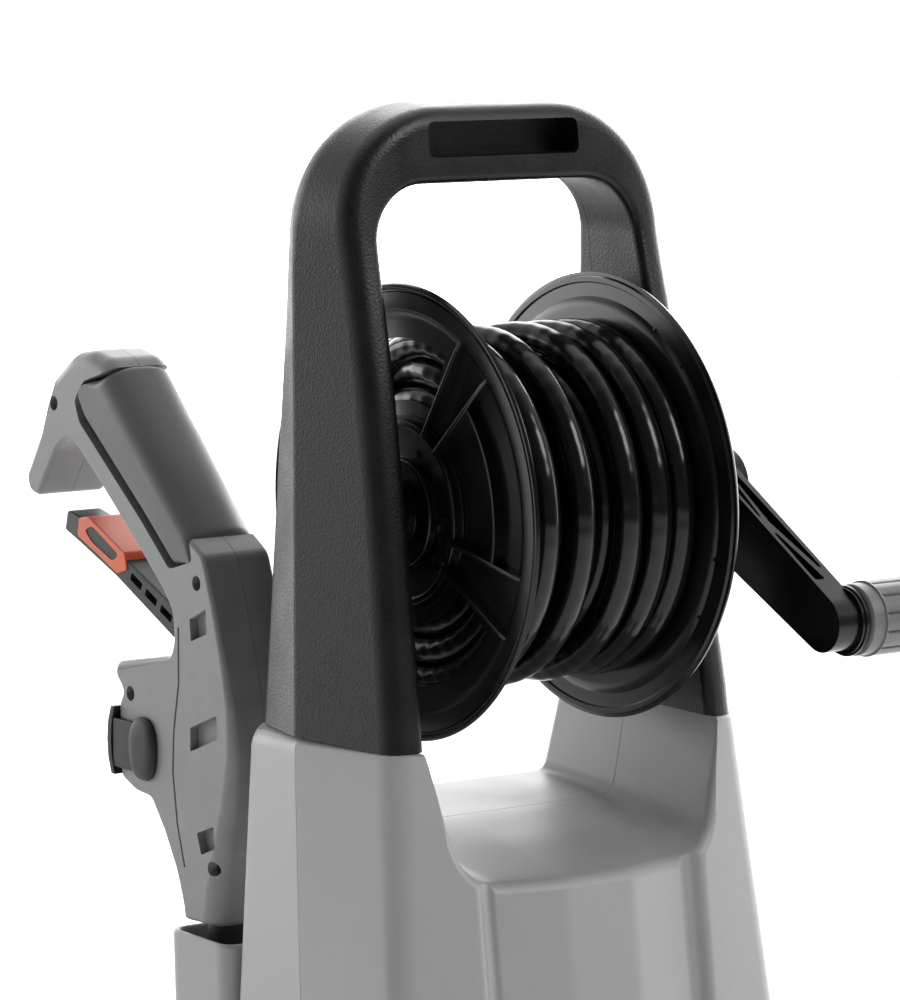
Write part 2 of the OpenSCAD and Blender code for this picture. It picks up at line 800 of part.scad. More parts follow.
inlet_y0 = round(prow_y(inlet_z) - 19);
module inlet_coupling() {
    color("#b08a4a") difference() {
        union() {
            y_rod(7.9, unit_y - pump_r - 9, unit_y - pump_r + 6, 0, inlet_z);
            y_rod(12, inlet_y0 + 18, unit_y - pump_r - 8.1, 0, inlet_z);
            y_rod(inlet_r - 1, inlet_y0 + 14, inlet_y0 + 26, 0, inlet_z);
            y_rod(10, inlet_y0, inlet_y0 + 20, 0, inlet_z);
        }
        y_rod(5.5, inlet_y0 - over, unit_y - 20, 0, inlet_z);
    }
}

module outlet_elbow() {
    color("#b08a4a") union() {
        x_rod(6.9, -pump_r - 10, -pump_r + 8, unit_y, outlet_z);
        x_rod(9, -pump_r - 22, -pump_r - 6, unit_y, outlet_z);
    }
}

swivel_x0 = -bush_x1 - 9;
swivel_x1 = -bush_x1;
feed_route = [[-pump_r - 22, unit_y, outlet_z], [-84, unit_y, outlet_z], [-90, riser_y, outlet_z + 20],
    [riser_x, riser_y, 300], [riser_x, riser_y, 400], [riser_x, riser_y, shoulder_z - 84],
    [riser_x, 0, shoulder_z - 24], [riser_x, 0, shoulder_z + 36], [riser_x + 3, 0, reel_z - 30],
    [riser_x + 3, 0, reel_z - 20]];
module feed_hose() {
    color("#1a1a1a") swept_tube(concat(rounded(feed_route, 5), [feed_route[9]]), 5, 12, [0.1, 1, 0.2]);
}

// ---- reel ------------------------------------------------------------------------------
shaft_x0 = -bush_x1 - 7;
crank_x0 = handle_half_w + 4;
crank_hub_w = 22;
crank_hub_r = 17;
crank_end_r = 13;
crank_end_w = 13;
hub_boss_r = 24;
hub_boss_x = bush_x0 - 4;
window_r0 = 49;
window_r1 = 76;
rib_angles = [29.5, 45, 102.5, 121];
window_from = 127;
window_to = 203;
rim_bead = 1.6;

module reel_bushes() {
    color("#d8dadc") both_sides() union() {
        x_ring(bush_r - 0.02, shaft_r + running, bush_x0 - over, bush_x1, 0, reel_z);
        x_ring(bush_r + 2, shaft_r + running, bush_x0 - 2, bush_x0 - 0.1, 0, reel_z);
    }
}

module hose_swivel() {
    color("#b08a4a") difference() {
        union() {
            x_rod(13, swivel_x0, swivel_x1 - 0.2, 0, reel_z);
            translate([riser_x + 3, 0, reel_z - 20]) cylinder(r = 6, h = 10, $fn = fine);
        }
        x_rod(shaft_r + running, shaft_x0 - 0.5, swivel_x1 + over, 0, reel_z);
    }
}

module reel_shaft() {
    color("#b8babd") x_rod(shaft_r, shaft_x0, crank_x0 + 16, 0, reel_z);
}

hose_layers = 3;
coil_r = drum_r + hose_layers * hose_d + 0.5;
flange_x = reel_half_w - rim_bead - flange_t;
drum_wall = 3;
rim_w = 3;
web_x0 = flange_x - 8;
web_x1 = flange_x - 5;
rib_h = 2.9;
rib_t = 2.4;
bore_slip = 0.02;

// one side of the reel: half of the drum, the flange, its hub and its ribs
module reel_side() {
    difference() {
        union() {
            translate([0, 0, reel_z]) rotate([0, 90, 0]) rotate_extrude($fn = fine) polygon([
                [shaft_r + bore_slip, web_x0], [drum_r - drum_wall, web_x0], [drum_r - drum_wall, 0.1],
                [drum_r, 0.1], [drum_r, flange_x], [flange_r - rim_w, flange_x],
                [flange_r - rim_w, flange_x - 1], [flange_r, flange_x - 1], [flange_r, reel_half_w],
                [flange_r - rim_w, reel_half_w], [flange_r - rim_w, flange_x + flange_t],
                [drum_r - drum_wall, flange_x + flange_t], [drum_r - drum_wall, web_x1],
                [hub_boss_r, web_x1], [hub_boss_r, hub_boss_x], [shaft_r + bore_slip, hub_boss_x]]);
            for (turn = [0, 180], a = rib_angles)
                translate([0, 0, reel_z]) rotate([a + turn, 0, 0])
                    translate([flange_x + 1, -rib_t / 2, drum_r - 1])
                        cube([flange_t - 1 + rib_h, rib_t, flange_r - drum_r - 11]);
        }
        for (turn = [0, 180]) translate([0, 0, reel_z]) rotate([turn, 0, 0]) window_cut();
    }
}

module window_cut() {
    steps = 12;
    yz_plate(flange_x - 1, flange_x + 9) polygon(concat(
        [for (k = [0:steps]) let (a = mix(window_from, window_to, k / steps)) window_r0 * [-sin(a), cos(a)]],
        [for (k = [steps:-1:0]) let (a = mix(window_from, window_to, k / steps)) window_r1 * [-sin(a), cos(a)]]));
}

module reel_flange_right() { color("#141414") reel_side(); }
module reel_flange_left() { color("#141414") mirror([1, 0, 0]) reel_side(); }

// closed outer shape of the wound hose
module hose_coil() {
    color("#1a1a1a") x_ring(coil_r, drum_r + 0.2, -coil_half_w, coil_half_w, 0, reel_z);
}
coil_half_w = reel_half_w - rim_bead - flange_t - 1.3;

fitting_r = 8;
fitting_x = 34;
module hose_end_fitting() {
    color("#b08a4a") translate([fitting_x, coil_r + fitting_r + 0.2, reel_z - 14]) union() {
        cylinder(r = fitting_r, h = 22, $fn = fine);
        cylinder(r = fitting_r - 2, h = 38, $fn = fine);
    }
}

crank_y = -crank_length * cos(crank_angle);
crank_z = reel_z - crank_length * sin(crank_angle);
module crank_arm() {
    color("#141414") difference() {
        union() {
            x_rod(crank_hub_r, crank_x0, crank_x0 + crank_hub_w, 0, reel_z);
            yz_plate(crank_x0 + 0.5, crank_x0 + crank_end_w) hull() {
                translate([0, reel_z]) circle(r = crank_hub_r - 1.5, $fn = hull_fn);
                translate([crank_y, crank_z]) circle(r = crank_end_r, $fn = hull_fn);
            }
            x_rod(grip_r - 2, crank_x0 + crank_end_w - 1, crank_x0 + crank_end_w + 3, crank_y, crank_z);
            x_rod(pin_r, crank_x0 + 2, grip_x0 + grip_length - 4, crank_y, crank_z);
        }
        x_rod(shaft_r + bore_slip, crank_x0 - over, crank_x0 + 16, 0, reel_z);
        x_rod(3.2, crank_x0, far, 0, reel_z);
    }
}

pin_r = 5;
grip_x0 = crank_x0 + crank_end_w + 3.5;
module crank_screw() {
    color("#9a9da1") union() {
        x_rod(7, crank_x0 + crank_hub_w, crank_x0 + crank_hub_w + 3, 0, reel_z);
        x_rod(3, crank_x0 + 16.1, crank_x0 + crank_hub_w + 1, 0, reel_z);
    }
}

module crank_grip() {
    color("#8d8f92") difference() {
        x_rod(grip_r, grip_x0, grip_x0 + grip_length, crank_y, crank_z);
        x_rod(pin_r + running, grip_x0 - over, grip_x0 + grip_length - 3.7, crank_y, crank_z);
    }
}

// ---- spray gun ---------------------------------------------------------------------------
gun_half_t = gun_t / 2;
gun_y = cup_y0 + 14;
// places on the gun are [y, z] from gun_y and the rim of the cup
function hung(pts) = [for (p = pts) [gun_y + p[0], cup_top + p[1]]];
gun_body_pts = hung([[4, 4], [2, 22], [-3, 41], [-8.5, 61], [-12, 84], [-10, 106], [-4, 128.5],
    [3, 149.5], [11.5, 172.5], [25, 180], [86.5, 245], [97, 254.5], [111.5, 257.5], [126, 255.5],
    [141, 245], [154.5, 213.5], [167.5, 193.5], [165, 187], [156.5, 185], [139, 209.5],
    [130.5, 214.5], [122, 212.5], [100, 196.5], [63, 167.5], [44, 151.5], [38, 144], [37, 131.5],
    [40, 124], [86.5, 115.5], [88.5, 109.5], [81, 102], [85, 97], [84, 62], [71.5, 57], [58, 56],
    [46.5, 42], [36, 25], [30.5, 10.5], [29.5, 4]]);
pad_pts = hung([[21, 169.5], [40, 164], [63, 183], [118, 224], [122, 233.5], [113.5, 243],
    [99, 247], [91.5, 251.5], [24, 181]]);
pivot_y = gun_y + 27.5;
pivot_z = cup_top + 131.5;
pivot_r = 1.9;
lever_half_x = 9;
muzzle_y = gun_y + 17;
muzzle_r = 11;

module gun_outline(inset) { offset(delta = -inset) polygon(gun_body_pts); }

module lever_room() {
    polygon(hung([[12.5, 114.5], [63, 114.5], [63, 152.5], [31.5, 156.5], [12.5, 144]]));
}

module gun_half(x0, x1, hollow_x0, hollow_x1) {
    difference() {
        yz_plate(x0, x1) gun_outline(0);
        yz_plate(hollow_x0, hollow_x1) gun_outline(gun_wall);
        yz_plate(gun_x - lever_half_x - 1.5, gun_x + lever_half_x + 1.5) lever_room();
        yz_plate(gun_x - far, gun_x + far) offset(delta = touch) polygon(pad_pts);
        x_rod(pivot_r + 0.1, gun_x - far, gun_x + far, pivot_y, pivot_z);
        translate([gun_x, muzzle_y, cup_top - 24]) cylinder(r = muzzle_r, h = 64, $fn = fine);
        for (p = gun_screw_places) x_rod(3.2, gun_x - far, gun_x - gun_half_t + 3, p[0], p[1]);
    }
}

gun_screw_places = hung([[17, 160], [74.5, 102], [5.5, 31.5], [141, 230.5]]);

module gun_shell_left() {
    color("#77797c") gun_half(gun_x - gun_half_t, gun_x - 0.05, gun_x - gun_half_t + gun_wall, gun_x + over);
}

module gun_shell_right() {
    color("#77797c") gun_half(gun_x + 0.05, gun_x + gun_half_t, gun_x - over, gun_x + gun_half_t - gun_wall);
}

module gun_grip_pad() {
    color("#6c6e71") yz_plate(gun_x - gun_half_t + 0.5, gun_x + gun_half_t - 0.5) polygon(pad_pts);
}

module gun_screws() {
    color("#2a2b2d") for (p = gun_screw_places)
        x_rod(3, gun_x - gun_half_t + 0.6, gun_x - gun_half_t + 2.8, p[0], p[1]);
}

module gun_valve() {
    color("#5c5e61") union() {
        translate([gun_x, muzzle_y, cup_top - 15.5]) cylinder(r = muzzle_r - 0.3, h = 52, $fn = fine);
        translate([gun_x, muzzle_y, cup_top + 36]) cylinder(r = 8, h = 66, $fn = fine);
        y_rod(7, muzzle_y, muzzle_y + 56, gun_x, cup_top + 81);
    }
}

lever_pts = hung([[21, 121], [31.5, 121], [54.5, 131.5], [101, 152.5], [134.5, 165],
    [147.5, 169.5], [145, 179], [132.5, 176.5], [101, 165], [52.5, 145], [31.5, 142], [21, 138]]);
module gun_trigger() {
    color("#4a4c4f") difference() {
        yz_plate(gun_x - lever_half_x, gun_x + lever_half_x) polygon(lever_pts);
        x_rod(pivot_r + running, gun_x - far, gun_x + far, pivot_y, pivot_z);
        yz_plate(gun_x - lever_half_x + 3, gun_x + lever_half_x - 3)
            polygon(hung([[99, 157], [131.5, 168], [130.5, 186], [88.5, 186]]));
    }
}

module trigger_pin() {
    color("#b8babd") x_rod(pivot_r, gun_x - gun_half_t + 1, gun_x + gun_half_t - 1, pivot_y, pivot_z);
}

module trigger_lock() {
    color("#c9562b") yz_plate(gun_x - lever_half_x + 3.3, gun_x + lever_half_x - 3.3)
        polygon(hung([[100, 158], [128.5, 168], [126, 178], [98, 167.5]]));
}

// clip that holds the hose in the gun: two cheeks joined by a back plate
clip_z0 = cup_top + 63;
clip_z1 = cup_top + 95;
clip_y0 = gun_y + 50.5;
clip_y1 = gun_y + 85.7;
clip_t = 3.2;
module hose_clip() {
    color("#5c5e61") difference() {
        translate([gun_x - gun_half_t - clip_t - touch, clip_y0, clip_z0])
            cube([gun_t + 2 * (clip_t + touch), clip_y1 + clip_t + 2 - clip_y0, clip_z1 - clip_z0]);
        translate([gun_x - gun_half_t - touch, clip_y0 - over, clip_z0 - over])
            cube([gun_t + 2 * touch, clip_y1 + over - clip_y0, clip_z1 - clip_z0 + 2 * over]);
    }
}

base_tray();
floor_pads();
front_shell();
rear_shell();
case_screws();
handle_front();
handle_rear();
switch_bezel();
switch_body();
control_knob();
gun_holster();
cable_gland();
detergent_tank();
tank_cap();
suction_tube();
wheel_axle();
wheel_left();
wheel_right();
tyre_left();
tyre_right();
wheel_cap_left();
wheel_cap_right();
motor_bracket();
rubber_mounts();
motor_housing();
motor_end_cover();
motor_stator();
motor_rotor();
motor_fan();
motor_bearings();
swash_plate();
run_capacitor();
pump_body();
pump_head();
pump_pistons();
piston_springs();
pump_bolts();
stop_switch();
inlet_coupling();
outlet_elbow();
feed_hose();
reel_bushes();
hose_swivel();
reel_shaft();
reel_flange_left();
reel_flange_right();
hose_coil();
hose_end_fitting();
crank_arm();
crank_screw();
crank_grip();
gun_shell_left();
gun_shell_right();
gun_grip_pad();
gun_screws();
gun_valve();
gun_trigger();
trigger_pin();
trigger_lock();
hose_clip();
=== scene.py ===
"""Upright electric pressure washer with a hose reel in its handle and a spray gun in its holster.

Sizes are in millimetres in the row frame, with +X the crank side, -Y the front and +Z up, and
become metres only where a mesh is made.
"""

import logging
import math
from dataclasses import dataclass, field
from enum import Enum
from typing import Callable, Sequence

import bmesh
import bpy
from mathutils import Matrix, Vector


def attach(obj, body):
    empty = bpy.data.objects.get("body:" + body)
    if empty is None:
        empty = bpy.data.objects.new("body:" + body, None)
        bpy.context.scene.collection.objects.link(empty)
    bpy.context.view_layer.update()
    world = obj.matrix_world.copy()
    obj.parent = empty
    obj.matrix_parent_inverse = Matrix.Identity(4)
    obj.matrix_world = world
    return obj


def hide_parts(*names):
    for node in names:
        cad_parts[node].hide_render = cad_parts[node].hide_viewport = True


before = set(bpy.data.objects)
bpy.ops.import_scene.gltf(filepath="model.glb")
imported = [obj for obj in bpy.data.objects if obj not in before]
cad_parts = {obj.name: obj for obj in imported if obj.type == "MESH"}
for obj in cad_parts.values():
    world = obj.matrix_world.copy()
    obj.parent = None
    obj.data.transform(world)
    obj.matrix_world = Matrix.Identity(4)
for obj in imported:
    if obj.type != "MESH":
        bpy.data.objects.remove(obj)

Point2 = tuple[float, float]
Point3 = tuple[float, float, float]
LOG = logging.getLogger("washer")
MM = 0.001
REEL_Z = 680.0
GUN_X = -77.0
GUN_Y = 85.0
CUP_RIM = 480.3


# ---- finishes ---------------------------------------------------------------------------------
class Grain(Enum):
    """How the surface of a finish is worked."""
    SPARKED = "pebbled skin of a spark-eroded mould"
    POLISHED = "polished mould with a faint flow of the melt"
    BRUSHED = "turned or ground metal"
    RIBBED = "fine ribs across a hose"
    WOVEN = "rubber with a cloth mark"


@dataclass(frozen=True)
class Finish:
    """One material of the washer, in linear colour and millimetres."""
    name: str
    slot: str
    colour: Point3
    roughness: float
    grain: Grain = Grain.SPARKED
    grain_mm: float = 0.9
    depth_mm: float = 0.05
    mottle: float = 0.12
    mottle_mm: float = 35.0
    metallic: float = 0.0
    coat: float = 0.0
    specular: float = 0.5
    scuffs: float = 0.0

    def build(self) -> bpy.types.Material:
        """Makes the node material.

        Returns:
            The material, new the first time and the same one after that.
        """
        known = bpy.data.materials.get(self.name)
        if known:
            return known
        material = bpy.data.materials.new(self.name)
        material.use_nodes = True
        tree = material.node_tree
        shader = tree.nodes["Principled BSDF"]
        shader.inputs["Metallic"].default_value = self.metallic
        shader.inputs["Coat Weight"].default_value = self.coat
        shader.inputs["Coat Roughness"].default_value = 0.18
        shader.inputs["Specular IOR Level"].default_value = self.specular
        place = tree.nodes.new("ShaderNodeTexCoord").outputs["Object"]
        broad = self._noise(tree, place, (1.0 / (self.mottle_mm * MM),) * 3, 3.0)
        fine = self._noise(tree, place, (260.0, 260.0, 260.0), 4.0)
        blend = tree.nodes.new("ShaderNodeMath")
        blend.operation = "MULTIPLY_ADD"
        tree.links.new(fine, blend.inputs[0])
        blend.inputs[1].default_value = 0.35
        tree.links.new(broad, blend.inputs[2])
        tone = tree.nodes.new("ShaderNodeValToRGB")
        tone.color_ramp.elements[0].position = 0.35
        tone.color_ramp.elements[1].position = 0.95
        for end, share in ((0, 1.0 - self.mottle), (1, 1.0 + self.mottle)):
            tone.color_ramp.elements[end].color = (*(min(1.0, c * share) for c in self.colour), 1.0)
        tree.links.new(blend.outputs[0], tone.inputs[0])
        colour = tone.outputs[0]
        if self.scuffs:
            colour = self._scuffed(tree, place, colour)
        tree.links.new(colour, shader.inputs["Base Color"])
        gloss = tree.nodes.new("ShaderNodeMapRange")
        gloss.inputs["From Min"].default_value = 0.3
        gloss.inputs["From Max"].default_value = 0.9
        gloss.inputs["To Min"].default_value = self.roughness * 0.82
        gloss.inputs["To Max"].default_value = min(1.0, self.roughness * 1.2)
        tree.links.new(blend.outputs[0], gloss.inputs["Value"])
        tree.links.new(gloss.outputs[0], shader.inputs["Roughness"])
        bump = tree.nodes.new("ShaderNodeBump")
        bump.inputs["Strength"].default_value = 1.0
        bump.inputs["Distance"].default_value = self.depth_mm * MM
        tree.links.new(self._relief(tree, place), bump.inputs["Height"])
        tree.links.new(bump.outputs[0], shader.inputs["Normal"])
        return material

    @staticmethod
    def _noise(tree: bpy.types.NodeTree, place: bpy.types.NodeSocket, scale: Sequence[float],
               detail: float) -> bpy.types.NodeSocket:
        """Adds a noise.

        Args:
            tree: The material's nodes.
            place: Coordinates it reads.
            scale: Turns per metre along each axis.
            detail: Octaves.

        Returns:
            The noise's value.
        """
        mapping = tree.nodes.new("ShaderNodeMapping")
        mapping.inputs["Scale"].default_value = scale
        tree.links.new(place, mapping.inputs["Vector"])
        noise = tree.nodes.new("ShaderNodeTexNoise")
        noise.inputs["Scale"].default_value = 1.0
        noise.inputs["Detail"].default_value = detail
        tree.links.new(mapping.outputs[0], noise.inputs["Vector"])
        return noise.outputs[0]

    def _scuffed(self, tree: bpy.types.NodeTree, place: bpy.types.NodeSocket,
                 colour: bpy.types.NodeSocket) -> bpy.types.NodeSocket:
        """Adds thin paler scuffs, as handling leaves on moulded plastic.

        Args:
            tree: The material's nodes.
            place: Coordinates.
            colour: The colour so far.

        Returns:
            The colour with scuffs.
        """
        streak = self._noise(tree, place, (38.0, 300.0, 14.0), 2.0)
        mask = tree.nodes.new("ShaderNodeMapRange")
        mask.inputs["From Min"].default_value = 0.66
        mask.inputs["From Max"].default_value = 0.74
        mask.inputs["To Max"].default_value = self.scuffs
        tree.links.new(streak, mask.inputs["Value"])
        mix = tree.nodes.new("ShaderNodeMix")
        mix.data_type = "RGBA"
        tree.links.new(mask.outputs[0], mix.inputs[0])
        tree.links.new(colour, mix.inputs[6])
        pale = [min(1.0, c * 1.8 + 0.03) for c in self.colour]
        mix.inputs[7].default_value = (*pale, 1.0)
        return mix.outputs[2]

    def _relief(self, tree: bpy.types.NodeTree,
                place: bpy.types.NodeSocket) -> bpy.types.NodeSocket:
        """Adds the small relief of the surface.

        Args:
            tree: The material's nodes.
            place: Coordinates.

        Returns:
            The height.
        """
        pitch = 1.0 / (self.grain_mm * MM)
        if self.grain is Grain.SPARKED:
            mapping = tree.nodes.new("ShaderNodeMapping")
            mapping.inputs["Scale"].default_value = (pitch,) * 3
            tree.links.new(place, mapping.inputs["Vector"])
            pebble = tree.nodes.new("ShaderNodeTexVoronoi")
            pebble.feature = "SMOOTH_F1"
            pebble.inputs["Scale"].default_value = 1.0
            tree.links.new(mapping.outputs[0], pebble.inputs["Vector"])
            return pebble.outputs["Distance"]
        if self.grain is Grain.BRUSHED:
            return self._noise(tree, place, (pitch * 0.05, pitch, pitch), 2.0)
        if self.grain is Grain.RIBBED:
            along = tree.nodes.new("ShaderNodeTexCoord").outputs["UV"]
            wave = tree.nodes.new("ShaderNodeTexWave")
            wave.wave_profile = "SIN"
            wave.inputs["Scale"].default_value = pitch / 20.0
            wave.inputs["Distortion"].default_value = 0.4
            wave.inputs["Detail"].default_value = 1.0
            tree.links.new(along, wave.inputs["Vector"])
            return wave.outputs["Fac"]
        if self.grain is Grain.WOVEN:
            return self._noise(tree, place, (pitch, pitch * 0.5, pitch), 4.0)
        return self._noise(tree, place, (pitch * 0.1,) * 3, 2.0)


SHELL = Finish("shell_satin_grey", "shell_grey", (0.32, 0.32, 0.324), 0.42, grain_mm=0.5,
               depth_mm=0.012, mottle=0.05, mottle_mm=60.0)
TRAY = Finish("tray_black_grained", "tray_black", (0.022, 0.022, 0.023), 0.5, grain_mm=0.8,
              depth_mm=0.06)
HANDLE = Finish("handle_black_grained", "handle_black", (0.0045, 0.0045, 0.0048), 0.38,
                grain_mm=1.1, depth_mm=0.1, mottle=0.25, mottle_mm=22.0, specular=0.36,
                scuffs=0.03)
REEL = Finish("reel_black_gloss", "reel_black", (0.004, 0.004, 0.0042), 0.22, Grain.POLISHED,
              grain_mm=0.6, depth_mm=0.01, mottle=0.3, specular=0.4, scuffs=0.04)
HOSE = Finish("hose_black_rubber", "hose_black", (0.003, 0.003, 0.003), 0.19, Grain.RIBBED,
              grain_mm=1.5, depth_mm=0.12, mottle=0.2, specular=0.38)
GUN = Finish("gun_grey_grained", "gun_grey", (0.21, 0.211, 0.214), 0.44, grain_mm=0.7,
             depth_mm=0.05, mottle=0.12, mottle_mm=18.0, scuffs=0.12)
PAD = Finish("pad_grey_soft", "pad_grey", (0.10, 0.101, 0.104), 0.5, grain_mm=0.6,
             depth_mm=0.04, mottle=0.1, scuffs=0.08)
LEVER = Finish("lever_dark_grey", "lever_grey", (0.016, 0.016, 0.017), 0.45, grain_mm=0.6,
               depth_mm=0.03, specular=0.3)
ORANGE = Finish("lock_orange", "safety_orange", (0.64, 0.085, 0.015), 0.42, grain_mm=0.6,
                depth_mm=0.02, mottle=0.08, scuffs=0.08)
GRIP = Finish("grip_grey_streaked", "grip_grey", (0.13, 0.13, 0.132), 0.36, Grain.BRUSHED,
              grain_mm=0.5, depth_mm=0.03, mottle=0.25, scuffs=0.2)
SCREW = Finish("screw_dark_steel", "screw_steel", (0.10, 0.10, 0.105), 0.35, Grain.BRUSHED,
               grain_mm=0.3, depth_mm=0.01, metallic=1.0)
STEEL = Finish("shaft_steel", "steel", (0.52, 0.52, 0.53), 0.26, Grain.BRUSHED, grain_mm=0.3,
               depth_mm=0.01, metallic=1.0)
BRASS = Finish("fitting_brass", "brass", (0.58, 0.40, 0.16), 0.28, Grain.BRUSHED, grain_mm=0.3,
               depth_mm=0.01, metallic=1.0)
CAST = Finish("cast_alloy", "cast_alloy", (0.42, 0.43, 0.44), 0.52, grain_mm=1.2, depth_mm=0.08,
              metallic=1.0)
COPPER = Finish("copper_and_iron", "copper_iron", (0.42, 0.17, 0.07), 0.4, Grain.BRUSHED,
                grain_mm=0.6, depth_mm=0.1, metallic=1.0)
RUBBER = Finish("rubber_black", "rubber_black", (0.02, 0.02, 0.02), 0.75, Grain.WOVEN,
                grain_mm=0.7, depth_mm=0.04)
TYRE = Finish("tyre_black", "tyre_black", (0.018, 0.018, 0.018), 0.68, Grain.WOVEN, grain_mm=0.8,
              depth_mm=0.05, scuffs=0.1)
TANK = Finish("tank_milky_white", "tank_white", (0.62, 0.63, 0.62), 0.42, Grain.POLISHED,
              grain_mm=1.0, depth_mm=0.01, mottle=0.05)
BUSH = Finish("bush_ivory", "bush_white", (0.55, 0.54, 0.5), 0.35, Grain.POLISHED, grain_mm=0.6,
              depth_mm=0.01)


# ---- mesh making ------------------------------------------------------------------------------
def clean(mesh: bpy.types.Mesh) -> None:
    """Merges doubles and turns the faces outwards.

    Args:
        mesh: The mesh to change.
    """
    work = bmesh.new()
    work.from_mesh(mesh)
    bmesh.ops.remove_doubles(work, verts=work.verts, dist=2e-6)
    bmesh.ops.dissolve_degenerate(work, edges=work.edges, dist=1e-6)
    bmesh.ops.recalc_face_normals(work, faces=work.faces)
    work.to_mesh(mesh)
    work.free()


def solid(name: str, points: Sequence[Point3], faces: Sequence[Sequence[int]],
          tidy: bool = True) -> bpy.types.Object:
    """Makes an object of a mesh given in millimetres.

    Args:
        name: Name of the piece.
        points: Its corners.
        faces: Its faces.
        tidy: Whether doubles are merged and faces turned outwards.

    Returns:
        The object, in the scene.
    """
    mesh = bpy.data.meshes.new(name)
    mesh.from_pydata([(x * MM, y * MM, z * MM) for x, y, z in points], [], faces)
    obj = bpy.data.objects.new(name, mesh)
    bpy.context.scene.collection.objects.link(obj)
    if tidy:
        clean(mesh)
    return obj


def settle(obj: bpy.types.Object) -> bpy.types.Object:
    """Turns what the modifiers make of an object into its own mesh.

    Args:
        obj: The object.

    Returns:
        The same object.
    """
    graph = bpy.context.evaluated_depsgraph_get()
    mesh = bpy.data.meshes.new_from_object(obj.evaluated_get(graph), depsgraph=graph)
    obj.modifiers.clear()
    old = obj.data
    obj.data = mesh
    mesh.name = obj.name
    bpy.data.meshes.remove(old)
    return obj


def carve(obj: bpy.types.Object, cutter: bpy.types.Object,
          how: str = "DIFFERENCE") -> bpy.types.Object:
    """Cuts, keeps or adds a shape, and uses the cutter up.

    Args:
        obj: The object to change.
        cutter: The other shape.
        how: DIFFERENCE, INTERSECT or UNION.

    Returns:
        The changed object.
    """
    step = obj.modifiers.new("carve", "BOOLEAN")
    step.object = cutter
    step.operation = how
    step.solver = "EXACT"
    settle(obj)
    bpy.data.objects.remove(cutter)
    return obj


def soften(obj: bpy.types.Object, width: float, segments: int = 3, angle: float = 32.0,
           clamp: bool = True) -> bpy.types.Object:
    """Rounds every edge that is sharper than an angle.

    Args:
        obj: The object.
        width: Width of the rounding.
        segments: Its steps.
        angle: The angle, in degrees.
        clamp: Whether the rounding shrinks where there is no room.

    Returns:
        The same object.
    """
    step = obj.modifiers.new("round", "BEVEL")
    step.width = width * MM
    step.segments = segments
    step.limit_method = "ANGLE"
    step.angle_limit = math.radians(angle)
    step.use_clamp_overlap = clamp
    return settle(obj)


def shade(obj: bpy.types.Object, angle: float = 34.0) -> bpy.types.Object:
    """Shades smoothly, apart from edges sharper than an angle.

    Args:
        obj: The object.
        angle: The angle, in degrees.

    Returns:
        The same object.
    """
    work = bmesh.new()
    work.from_mesh(obj.data)
    limit = math.radians(angle)
    for face in work.faces:
        face.smooth = True
    for edge in work.edges:
        edge.smooth = len(edge.link_faces) == 2 and edge.calc_face_angle(3.2) < limit
    work.to_mesh(obj.data)
    work.free()
    return obj


def join(name: str, parts: Sequence[bpy.types.Object]) -> bpy.types.Object:
    """Joins objects into one.

    Args:
        name: Name of the result.
        parts: The objects, which are used up.

    Returns:
        The joined object.
    """
    work = bmesh.new()
    for part in parts:
        work.from_mesh(part.data)
    mesh = bpy.data.meshes.new(name)
    work.to_mesh(mesh)
    work.free()
    for part in parts:
        bpy.data.objects.remove(part)
    obj = bpy.data.objects.new(name, mesh)
    bpy.context.scene.collection.objects.link(obj)
    return obj


def dress(obj: bpy.types.Object, finish: Finish, body: str, *nodes: str,
          angle: float = 34.0, weigh: bool = True) -> bpy.types.Object:
    """Gives a finished piece its material, its body and the CAD nodes it stands for.

    Args:
        obj: The piece.
        finish: Its finish.
        body: The CAD body it moves with.
        nodes: The CAD nodes it replaces.
        angle: Edges sharper than this stay sharp, in degrees.
        weigh: Whether large faces keep their shading flat.

    Returns:
        The piece.
    """
    shade(obj, angle)
    if weigh:
        flat = obj.modifiers.new("flat_faces", "WEIGHTED_NORMAL")
        flat.keep_sharp = True
    obj.data.materials.clear()
    obj.data.materials.append(finish.build())
    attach(obj, body)
    if nodes:
        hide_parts(*nodes)
    LOG.info("%s: %d faces, %s, on %s", obj.name, len(obj.data.polygons), finish.name, body)
    return obj


def between(x: float, xs: Sequence[float], ys: Sequence[float]) -> float:
    """Reads a table with straight lines between its rows.

    Args:
        x: Where.
        xs: Rising places.
        ys: Values there.

    Returns:
        The value at x.
    """
    if x <= xs[0]:
        return ys[0]
    for k in range(1, len(xs)):
        if x <= xs[k]:
            share = (x - xs[k - 1]) / (xs[k] - xs[k - 1])
            return ys[k - 1] + share * (ys[k] - ys[k - 1])
    return ys[-1]


def eased(x: float, xs: Sequence[float], ys: Sequence[float], reach: float) -> float:
    """Reads a table as `between` does, with its corners eased.

    Args:
        x: Where.
        xs: Rising places.
        ys: Values there.
        reach: Half the length over which values are averaged.

    Returns:
        The eased value.
    """
    return sum(between(x + reach * k / 4, xs, ys) for k in range(-4, 5)) / 9


